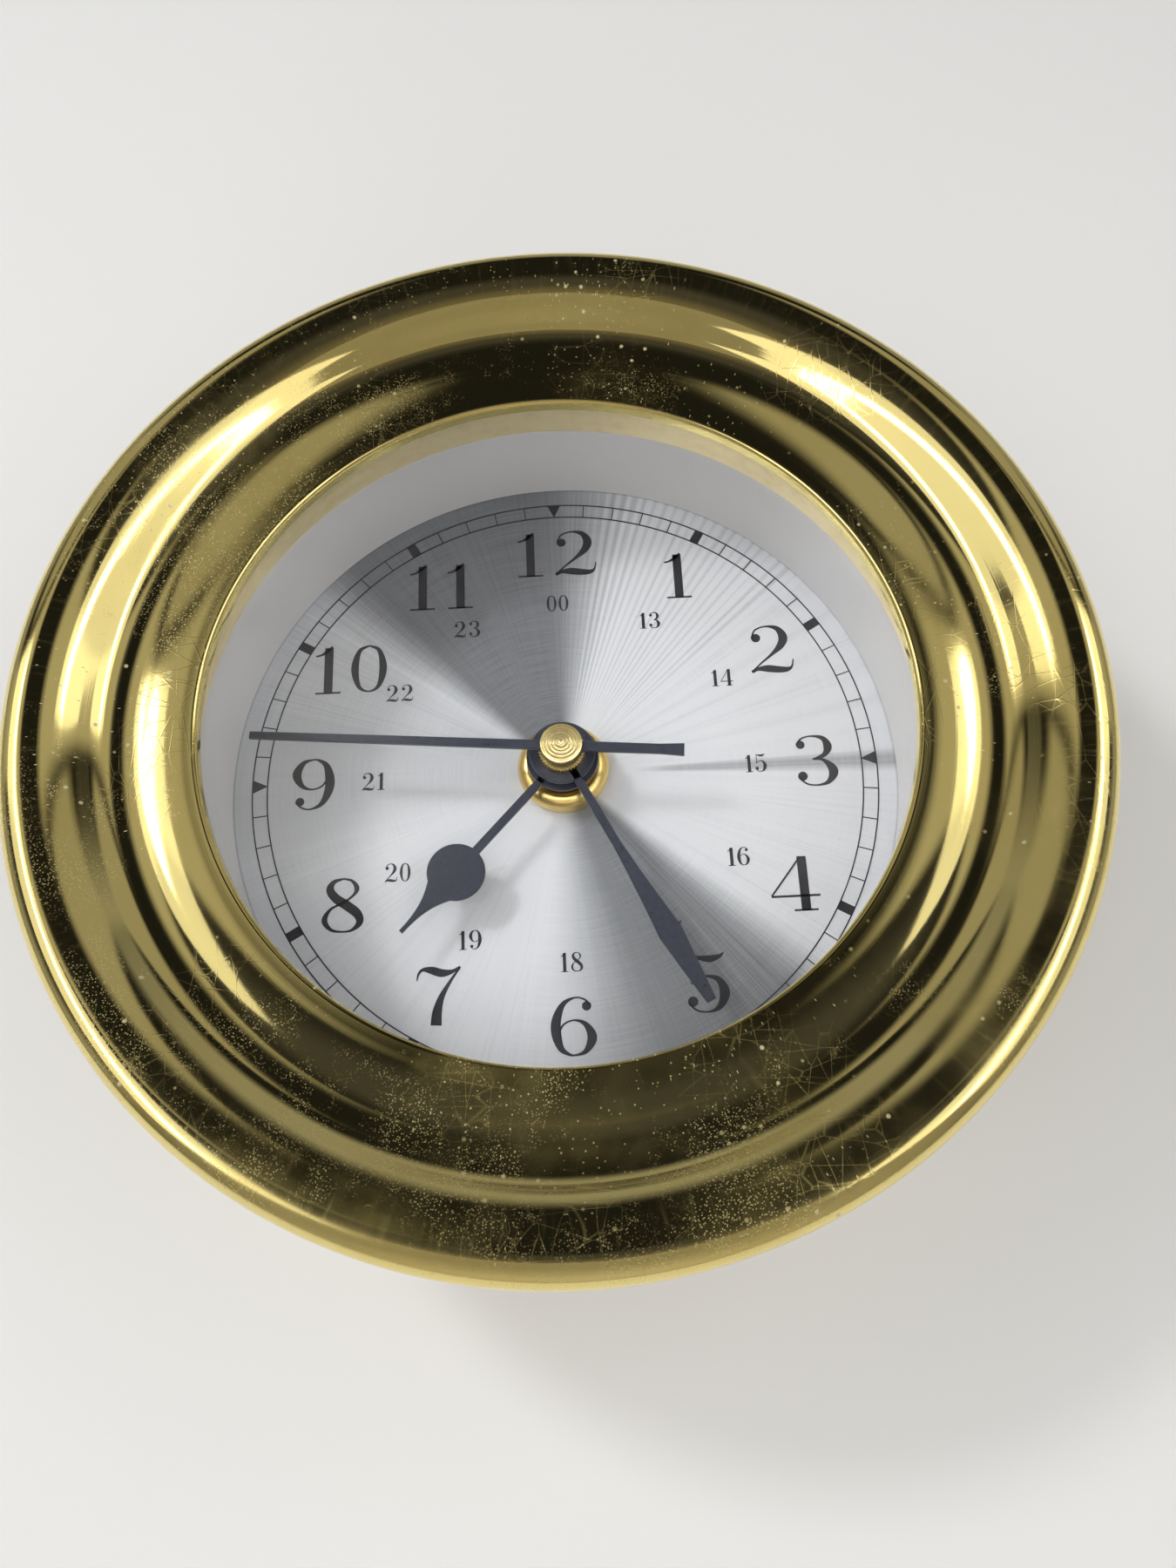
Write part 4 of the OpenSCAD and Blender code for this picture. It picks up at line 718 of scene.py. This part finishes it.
# Hand nut, second hand and its cap
# A thin knurled brass nut clamps the minute hand. The second hand, of the same sheet as the others, is
# pressed on the inner arbor, and a turned brass cap with a flat cone and a centre point covers it.
NUT_Z = MINUTE_Z + HAND_T
NUT_T = 1.0
KNURL_R = 3.1
KNURL_EDGE = 0.2
TEETH = 40


def knurl(t):
    """Fine teeth round the nut, 13 per cent deep: a triangle wave of the angle."""
    return 1 - 0.13 * np.abs((t * TEETH / (2 * np.pi)) % 1 - 0.5) * 2


cap_brass = turned("cap brass", (0.92, 0.74, 0.36), 0.18, 5, film=0.13)
nut = [(PIPE_R, NUT_Z), (KNURL_R - KNURL_EDGE, NUT_Z), (KNURL_R, NUT_Z + 0.15), (KNURL_R, NUT_Z + 0.85),
       (KNURL_R - KNURL_EDGE, NUT_Z + NUT_T), (PIPE_R, NUT_Z + NUT_T)]
piece("knurled_hand_nut", [lathe(nut, 12 * TEETH, ripple=knurl)], cap_brass, "minute", "hand_nut",
      slot="turned_brass")

SECOND_Z = DIAL_Z + 9.3
SECOND_TURN = 275.0
SECOND_HUB, ARBOR_R = 2.45, 0.51
SECOND_FROM, SECOND_TIP = 0.6, 40.0
SECOND_W, SECOND_TAPER = 1.3, 0.325
FLARE_AT, TAIL_END, TAIL_W = 12.48, 15.6, 1.65
END_STEP = 0.04

y = np.concatenate([np.linspace(SECOND_FROM, SECOND_TIP - END_STEP, 20), [SECOND_TIP]])
tail = np.array([SECOND_FROM, 6, FLARE_AT, 13.2, 14.0, 14.8, TAIL_END - END_STEP, TAIL_END])
tail_width = np.interp(tail, [0, FLARE_AT, TAIL_END], [SECOND_W, SECOND_W, TAIL_W])
shells = [hub(SECOND_HUB, ARBOR_R, SECOND_Z),
          blade(y, SECOND_W - SECOND_TAPER * y / SECOND_TIP, SECOND_TURN, SECOND_Z),
          blade(-tail, tail_width, SECOND_TURN, SECOND_Z)]
piece("second_hand_blade", shells, hand_paint, "second", "second_hand", slot="hand_black")

CAP_Z = SECOND_Z + HAND_T
CAP_T = 1.3
CAP_R = 2.65
CONE_R, CONE_LOW, CONE_RISE = 2.6, 0.74, 0.54
GROOVE, GROOVES = 0.035, 14

cone = [(r, CAP_Z + CONE_LOW + CONE_RISE * (1 - r / CONE_R) + GROOVE * math.cos(r * GROOVES))
        for r in np.linspace(2.4, 0.35, 60)]
cap = [(0, CAP_Z), (CAP_R - 0.15, CAP_Z), (CAP_R, CAP_Z + 0.12), (CAP_R, CAP_Z + 0.66)] + cone
cap += [(0.2, CAP_Z + CAP_T), (0, CAP_Z + CAP_T)]
piece("seconds_cap_cone", [lathe(cap, 192)], cap_brass, "second", "second_cap", slot="turned_brass")


# Drum, seat, lugs and the three screws through the skirt
# The case is a rolled brass drum that the ring sleeves over, with a ring soldered in for the dial and
# three lugs for the back cover. It was lacquered, never buffed, so it keeps its turning marks.
DRUM_OUT, DRUM_IN = 57.0, 55.4
DRUM_EDGE = 0.25

drum_brass = turned("drum brass", (0.72, 0.56, 0.24), 0.17, 1.4, 90)
drum = [(DRUM_OUT, DRUM_EDGE), (DRUM_OUT, DRUM_TOP), (DRUM_IN, DRUM_TOP), (DRUM_IN, DRUM_EDGE),
        (DRUM_IN + DRUM_EDGE, 0), (DRUM_OUT - DRUM_EDGE, 0)]
piece("case_drum_tube", [lathe(finer(drum, 3), 384)], drum_brass, "case", "case_drum", slot="case_brass")
dress(drum_brass, "dial_seat", "cover_lugs")

SCREW_Z = SKIRT_Z + 3
HEAD_SINK = -0.6
HEAD = ((0, HEAD_SINK), (1.9, HEAD_SINK), (2.0, -0.1), (1.9, 0.1), (1.5, 0.36), (0.9, 0.5), (0, 0.56))
SLOT_HALF, SLOT_FLOOR = 0.2, -0.15


def outward(angle, across, up, out):
    """Points of a screw whose axis points away from the clock's axis at this angle: across and up its
    head, and out from the skirt."""
    reach = SKIRT_OUT + out
    return clock(reach * math.sin(angle) + across * math.cos(angle),
                 reach * math.cos(angle) - across * math.sin(angle), SCREW_Z + up)


def radial_screw(angle):
    """A slotted, domed screw head of 2 mm radius: two half domes on either side of the slot, each a
    profile turned through half a circle and closed by its flat side, and a disc for the slot's floor."""
    shells = []
    u = np.linspace(0, np.pi, 25)[:, None]
    r, out = np.array(HEAD).T[:, None]
    for side in (-1, 1):
        across, up = side * (r * np.sin(u) + SLOT_HALF), r * np.cos(u)
        across = np.concatenate([across, 0 * across[:1] + side * SLOT_HALF])
        up = np.concatenate([up, 0 * up[:1]])
        shells.append(shell(outward(angle, across, up, out + 0 * up)))
    t = np.linspace(0, 2 * np.pi, 32, endpoint=False)[:, None]
    r, out = np.array([(0, HEAD_SINK), (1.9, HEAD_SINK), (1.9, SLOT_FLOOR), (0, SLOT_FLOOR)]).T[:, None]
    shells.append(shell(outward(angle, r * np.sin(t), r * np.cos(t), out + 0 * t)))
    return shells


heads = [part for angle in (0, 120, 240) for part in radial_screw(math.radians(angle))]
screw_brass = turned("screw brass", (0.7, 0.55, 0.25), 0.25)
piece("skirt_screws", heads, screw_brass, "case", "bezel_screws", slot="brass_screws")


# Back cover and hanger
# A flat brass disc with a square window for the movement and a keyhole, held by three countersunk
# screws. A zinc-plated steel plate riveted behind the keyhole takes the wall screw's head.
def rubbed(name, tint, rough, grain):
    """Flat sheet metal, rolled in one direction, with stains and light scratches."""
    metal = Finish(name, Metallic=1.0)
    lines = metal.noise(grain, 2, at=metal.stretched(0.04, 1, 1))
    stain = metal.noise(55, 5, 0.6)
    stained = tuple(tone * share for tone, share in zip(tint, (0.68, 0.6, 0.5)))
    return metal.feed(Base_Color=metal.mix(stain.rise(0.45, 0.75), tint, stained),
                      Roughness=lines * 0.14 + stain * 0.12 + rough, Normal=metal.bump(lines, 0.00003, 0.3))


dress(rubbed("sheet brass", (0.68, 0.50, 0.21), 0.26, 2600), "back_cover")
dress(rubbed("zinc plate", (0.62, 0.63, 0.64), 0.28, 3200), "hanger_plate", "hanger_rivets",
      "cover_screws", "plus_contact", "minus_contact")


# Movement housing, knob and wheels
# Two halves of black moulded plastic with a fine spark grain, and a knurled knob for setting the hands.
# The wheels, their plastic arbors and the coil's bobbin are moulded in a natural white.
def moulded(name, tone, grain=2200, rough=0.42):
    """Moulded plastic: a spark-eroded grain, a slightly uneven gloss and handling dust."""
    plastic = Finish(name)
    dust = plastic.noise(120, 4).rise(0.5, 0.85)
    dusty = tuple(min(1.0, share * 1.5 + 0.03) for share in tone)
    return plastic.feed(Base_Color=plastic.mix(dust * 0.45, tone, dusty), Roughness=dust * 0.2 + rough,
                        Normal=plastic.bump(plastic.noise(grain, 2), 0.00004, 0.35))


dress(moulded("movement plastic", (0.018, 0.018, 0.02)), "movement_base", "movement_cover", "setting_knob")
dress(moulded("wheel plastic", (0.62, 0.6, 0.55), 3000, 0.3), "fifth_wheel", "second_wheel", "third_wheel",
      "centre_wheel", "motion_wheel", "hour_wheel", "setting_stem", "coil_bobbin", "rotor_pinion",
      "fifth_arbor", "third_arbor")


# Cell
# An AA cell: a steel can in a printed sleeve, plain dark with a copper-coloured band at the plus end,
# the sleeve shrunk over the can's shoulders, and a pressed steel nub.
CELL_LONG = 49.5
CELL_R = 7.1
BODY_LONG = CELL_LONG - 1.0
BAND_AT, BAND_END = 0.68 * CELL_LONG, 0.685 * CELL_LONG
NUB_R = 2.7
cell_lo, cell_hi = (np.array(corner) * 1000 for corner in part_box("cell"))
cell_x, cell_z, cell_h = cell_lo[0], (cell_lo[2] + cell_hi[2]) / 2, -(cell_lo[1] + cell_hi[1]) / 2


def cell_sleeve():
    """The sleeve's dark print and copper-coloured band by the place along the cell, scuffed, and bare
    steel beyond its shrunk ends."""
    skin = Finish("cell sleeve", Coat_Weight=0.4)
    scuff = skin.noise(300, 4)
    place = skin.x * 1000 - cell_x
    copper = place.rise(BAND_AT, BAND_END)
    bare = place.rise(CELL_LONG - 1.7, CELL_LONG - 1.6) + place.rise(0.75, 0.7)
    colour = skin.mix(copper, (0.02, 0.021, 0.024), (0.45, 0.2, 0.075))
    colour = skin.mix(scuff.rise(0.6, 0.8) * 0.3, colour, (0.3, 0.28, 0.26))
    return skin.feed(Base_Color=skin.mix(bare, colour, (0.6, 0.6, 0.61)), Roughness=scuff * 0.2 + 0.28,
                     Metallic=(copper * 0.6 + bare).maths("MINIMUM", 1.0),
                     Normal=skin.bump(scuff, 0.00004, 0.2))


outline = [(0, 0), (0, CELL_R - 0.9), (0.15, CELL_R - 0.35), (0.5, CELL_R - 0.1), (1.0, CELL_R)]
outline += [(place, CELL_R) for place in np.linspace(2, CELL_LONG - 2.4, 20)]
outline += [(CELL_LONG - 1.5, CELL_R), (CELL_LONG - 1.15, CELL_R - 0.2), (BODY_LONG, CELL_R - 0.5)]
outline += [(BODY_LONG, CELL_R - 1.6), (BODY_LONG, NUB_R), (CELL_LONG - 0.2, NUB_R)]
outline += [(CELL_LONG, NUB_R - 0.2), (CELL_LONG, 0)]
along, r = np.array(outline).T[:, None]
t = np.linspace(0, 2 * np.pi, 96, endpoint=False)[:, None]
can = clock(cell_x + along + 0 * t, cell_z + r * np.cos(t), cell_h + r * np.sin(t))
piece("aa_cell", [shell(can, round_v=False)], cell_sleeve(), "case", "cell", slot="cell_sleeve")


# Inside the movement
# A lacquered circuit board with its chip under a drop of black resin and a crystal in a steel can, the
# soft-iron stator and core with an enamelled copper coil, and small steel arbors in a brass plate.
board = Finish("board lacquer", Coat_Weight=0.3)
weave = board.noise(1800, 2)
board.feed(Base_Color=board.mix(weave, (0.012, 0.10, 0.04), (0.02, 0.16, 0.065)),
           Roughness=weave * 0.1 + 0.4, Normal=board.bump(weave, 0.00003, 0.3))
dress(board.material, "circuit_board")
dress(moulded("chip resin", (0.012, 0.012, 0.013), 800, 0.2), "driver_chip")
dress(rubbed("steel can", (0.6, 0.6, 0.6), 0.22, 2600), "quartz_crystal", "second_arbor", "minute_pipe")
dress(rubbed("soft iron", (0.42, 0.42, 0.43), 0.38, 1800), "stator", "coil_core")
dress(rubbed("plate brass", (0.7, 0.54, 0.25), 0.3, 2200), "train_plate")
dress(moulded("magnet", (0.07, 0.07, 0.075), 1500, 0.3), "rotor_magnet")

wire = Finish("coil enamel", Coat_Weight=0.5, Metallic=0.6)
turns = (wire.x * 9000 + wire.noise(800, 1)).maths("SINE")
# Painted highlight and shade: the colour is lighter on the crown of each turn of wire and darker between
# turns.
wire.feed(Base_Color=wire.mix(turns.rise(-1, 1), (0.35, 0.11, 0.03), (0.6, 0.23, 0.08)),
          Roughness=wire.noise(700, 2) * 0.15 + 0.25, Normal=wire.bump(turns, 0.00006, 0.5))
dress(wire.material, "coil_winding")


# Stage
# A pale painted wall with a round opening that the clock's back covers, see-through from behind for
# views from there, and a pale floor well below the clock.
def stage(name, points, faces, tone, one_sided=False):
    """A painted stage surface. A one-sided one is see-through from its back."""
    mesh = bpy.data.meshes.new(name)
    mesh.from_pydata(points, [], faces)
    paint = Finish(name + " paint")
    cloud = paint.noise(6, 3)
    faded = tuple(0.97 * share for share in tone)
    paint.feed(Base_Color=paint.mix(cloud, faded, tone), Roughness=cloud * 0.1 + 0.6)
    if one_sided:
        paint.open_where(paint.node("ShaderNodeNewGeometry", out="Backfacing"))
    mesh.materials.append(paint.material)
    made = bpy.data.objects.new(name, mesh)
    bpy.context.scene.collection.objects.link(made)


STAGE_HALF = 3
STAGE_FRONT = 4
FLOOR = -1.2
WALL_Y = 0.0006
OPENING_R = 0.0565
SIDES = 64

around = np.linspace(0, 2 * np.pi, SIDES, endpoint=False)
ways = np.stack([np.sin(around), np.cos(around)], axis=-1)
edge = ways * (STAGE_HALF / np.abs(ways).max(axis=1))[:, None]
edge = np.maximum(edge, (-STAGE_HALF, FLOOR))
wall = [(x, WALL_Y, z) for x, z in np.concatenate([ways * OPENING_R, edge]).tolist()]
faces = [(n, (n + 1) % SIDES, (n + 1) % SIDES + SIDES, n + SIDES) for n in range(SIDES)]
stage("wall", wall, faces, (0.74, 0.74, 0.735), one_sided=True)
corners = [(-STAGE_HALF, -STAGE_FRONT), (STAGE_HALF, -STAGE_FRONT), (STAGE_HALF, STAGE_FRONT),
           (-STAGE_HALF, STAGE_FRONT)]
stage("floor", [(x, y, FLOOR) for x, y in corners], [(0, 1, 2, 3)], (0.84, 0.79, 0.73))


# Lamps and the room
# Two tall soft lamps with a brighter tube each stand left and right in front, and show in the brass. A
# small key lamp from the upper left throws the hands' shadows, with wide fills, and two lamps behind.
def lamp(name, direction, distance, width, tall, strength, roll=0, mirrored=True, outward=False):
    """A soft rectangular lamp that looks at the dial's centre, from a direction of the clock, as in
    clock(). Its strength is its radiance, so that a perfect mirror would show it as bright as that; the
    power is radiance times area times pi."""
    light = bpy.data.lights.new(name, "AREA")
    light.shape, light.size, light.size_y = "RECTANGLE", width, tall
    light.energy = strength * math.pi * width * tall
    made = bpy.data.objects.new(name, light)
    bpy.context.scene.collection.objects.link(made)
    x, y, height = direction
    back = np.array([x, -height, y], float)
    back = back / np.linalg.norm(back)
    place = back * distance
    if outward:
        back = -back
    side = np.cross((0, 0, 1), back)
    side = side / np.linalg.norm(side)
    turn = Matrix(np.stack([side, np.cross(back, side), back], axis=1).tolist())
    turn = turn @ Matrix.Rotation(math.radians(roll), 3, "Z")
    made.matrix_world = Matrix.Translation(place) @ turn.to_4x4()
    made.visible_camera, made.visible_glossy = False, mirrored


for side, name in ((-1, "left"), (1, "right")):
    lamp(name + " lamp", (side * 0.65, -0.02, 0.76), 0.72, 0.44, 0.70, 0.92, side * 3)
    lamp(name + " tube", (side * 0.59, 0.0, 0.80), 0.70, 0.075, 0.62, 3.2, side * 15)
lamp("fill lamp", (0, -0.34, 1), 0.95, 1.0, 0.36, 2.7, mirrored=False)
lamp("key lamp", (-0.66, 0.42, 1), 0.8, 0.11, 0.11, 50.0, mirrored=False)
lamp("low fill lamp", (0, -0.9, 0.7), 0.9, 0.6, 0.4, 0.9, mirrored=False)
lamp("floor lamp", (0, -1, 0.3), 0.35, 1.6, 1.6, 0.55, mirrored=False, outward=True)
lamp("rear lamp", (0.5, 0.4, -0.8), 0.9, 0.6, 0.6, 2.2)
lamp("rear left lamp", (-0.9, 0.1, -0.5), 0.9, 0.5, 0.5, 1.8)

BELOW, LEVEL, ABOVE = (0.150, 0.135, 0.115), (0.055, 0.055, 0.062), (0.012, 0.012, 0.014)
SOFT_BOX = (0.48, 0.465, 0.42)
BEYOND, BEHIND_WALL = (0.30, 0.30, 0.30), (0.7, 0.7, 0.7)

world = bpy.data.worlds.new("room")
world.use_nodes = True
bpy.context.scene.world = world
room = Nodes(world.node_tree)
across, away, up = room.split(room.node("ShaderNodeTexCoord", out="Generated"))
aside = across.maths("ABSOLUTE")
lobe = aside.rise(0.07, 0.20) * up.hump(0.36, 0.07, 0.05)
upper = up.hump(0.62, 0.11, 0.04) * aside.hump(0.42, 0.18, 0.14)
tone = room.mix(up.rise(-0.3, -0.02), BELOW, LEVEL)
tone = room.mix(up.rise(0.04, 0.30), tone, ABOVE)
tone = room.mix((lobe * 0.9 + upper * 0.7).maths("MINIMUM", 1.0), tone, SOFT_BOX)
tone = room.mix(away.rise(-0.45, -0.12), tone, BEYOND)
tone = room.mix(away.rise(0.02, 0.2), tone, BEHIND_WALL)
room.tree.links.new(tone.socket, room.tree.nodes["Background"].inputs["Color"])


# Camera
# Held in front of the clock and below it. Its place in millimetres, its turn in degrees and its focal
# length in pixels come from the circles of the ring and the dial in the picture.
FOCAL_PX = 1352.0
PHOTO_TALL = 1800
SENSOR = 36
CAMERA_TURN = (-20.44, 0.66, -2.69)
CAMERA_AT = (3.6, -57.0, DIAL_Z + 148.6)

turn = np.radians(CAMERA_TURN)
angle = np.linalg.norm(turn)
kx, ky, kz = turn / angle
cross = np.array([[0, -kz, ky], [kz, 0, -kx], [-ky, kx, 0]])
rows = np.eye(3) + math.sin(angle) * cross + (1 - math.cos(angle)) * cross @ cross
right, down, ahead = (np.array([x, -h, y]) for x, y, h in rows @ np.diag([1.0, -1.0, -1.0]))
camera = bpy.data.objects.new("camera", bpy.data.cameras.new("camera"))
bpy.context.scene.collection.objects.link(camera)
camera.data.sensor_fit, camera.data.sensor_width, camera.data.sensor_height = "VERTICAL", SENSOR, SENSOR
camera.data.lens = FOCAL_PX / PHOTO_TALL * SENSOR
camera.data.clip_start, camera.data.clip_end = 0.01, 20
facing = Matrix(np.stack([right, -down, -ahead], axis=1).tolist())
camera.matrix_world = Matrix.Translation(clock(*CAMERA_AT)) @ facing.to_4x4()
bpy.context.scene.camera = camera
bpy.context.scene.view_settings.view_transform = "Standard"
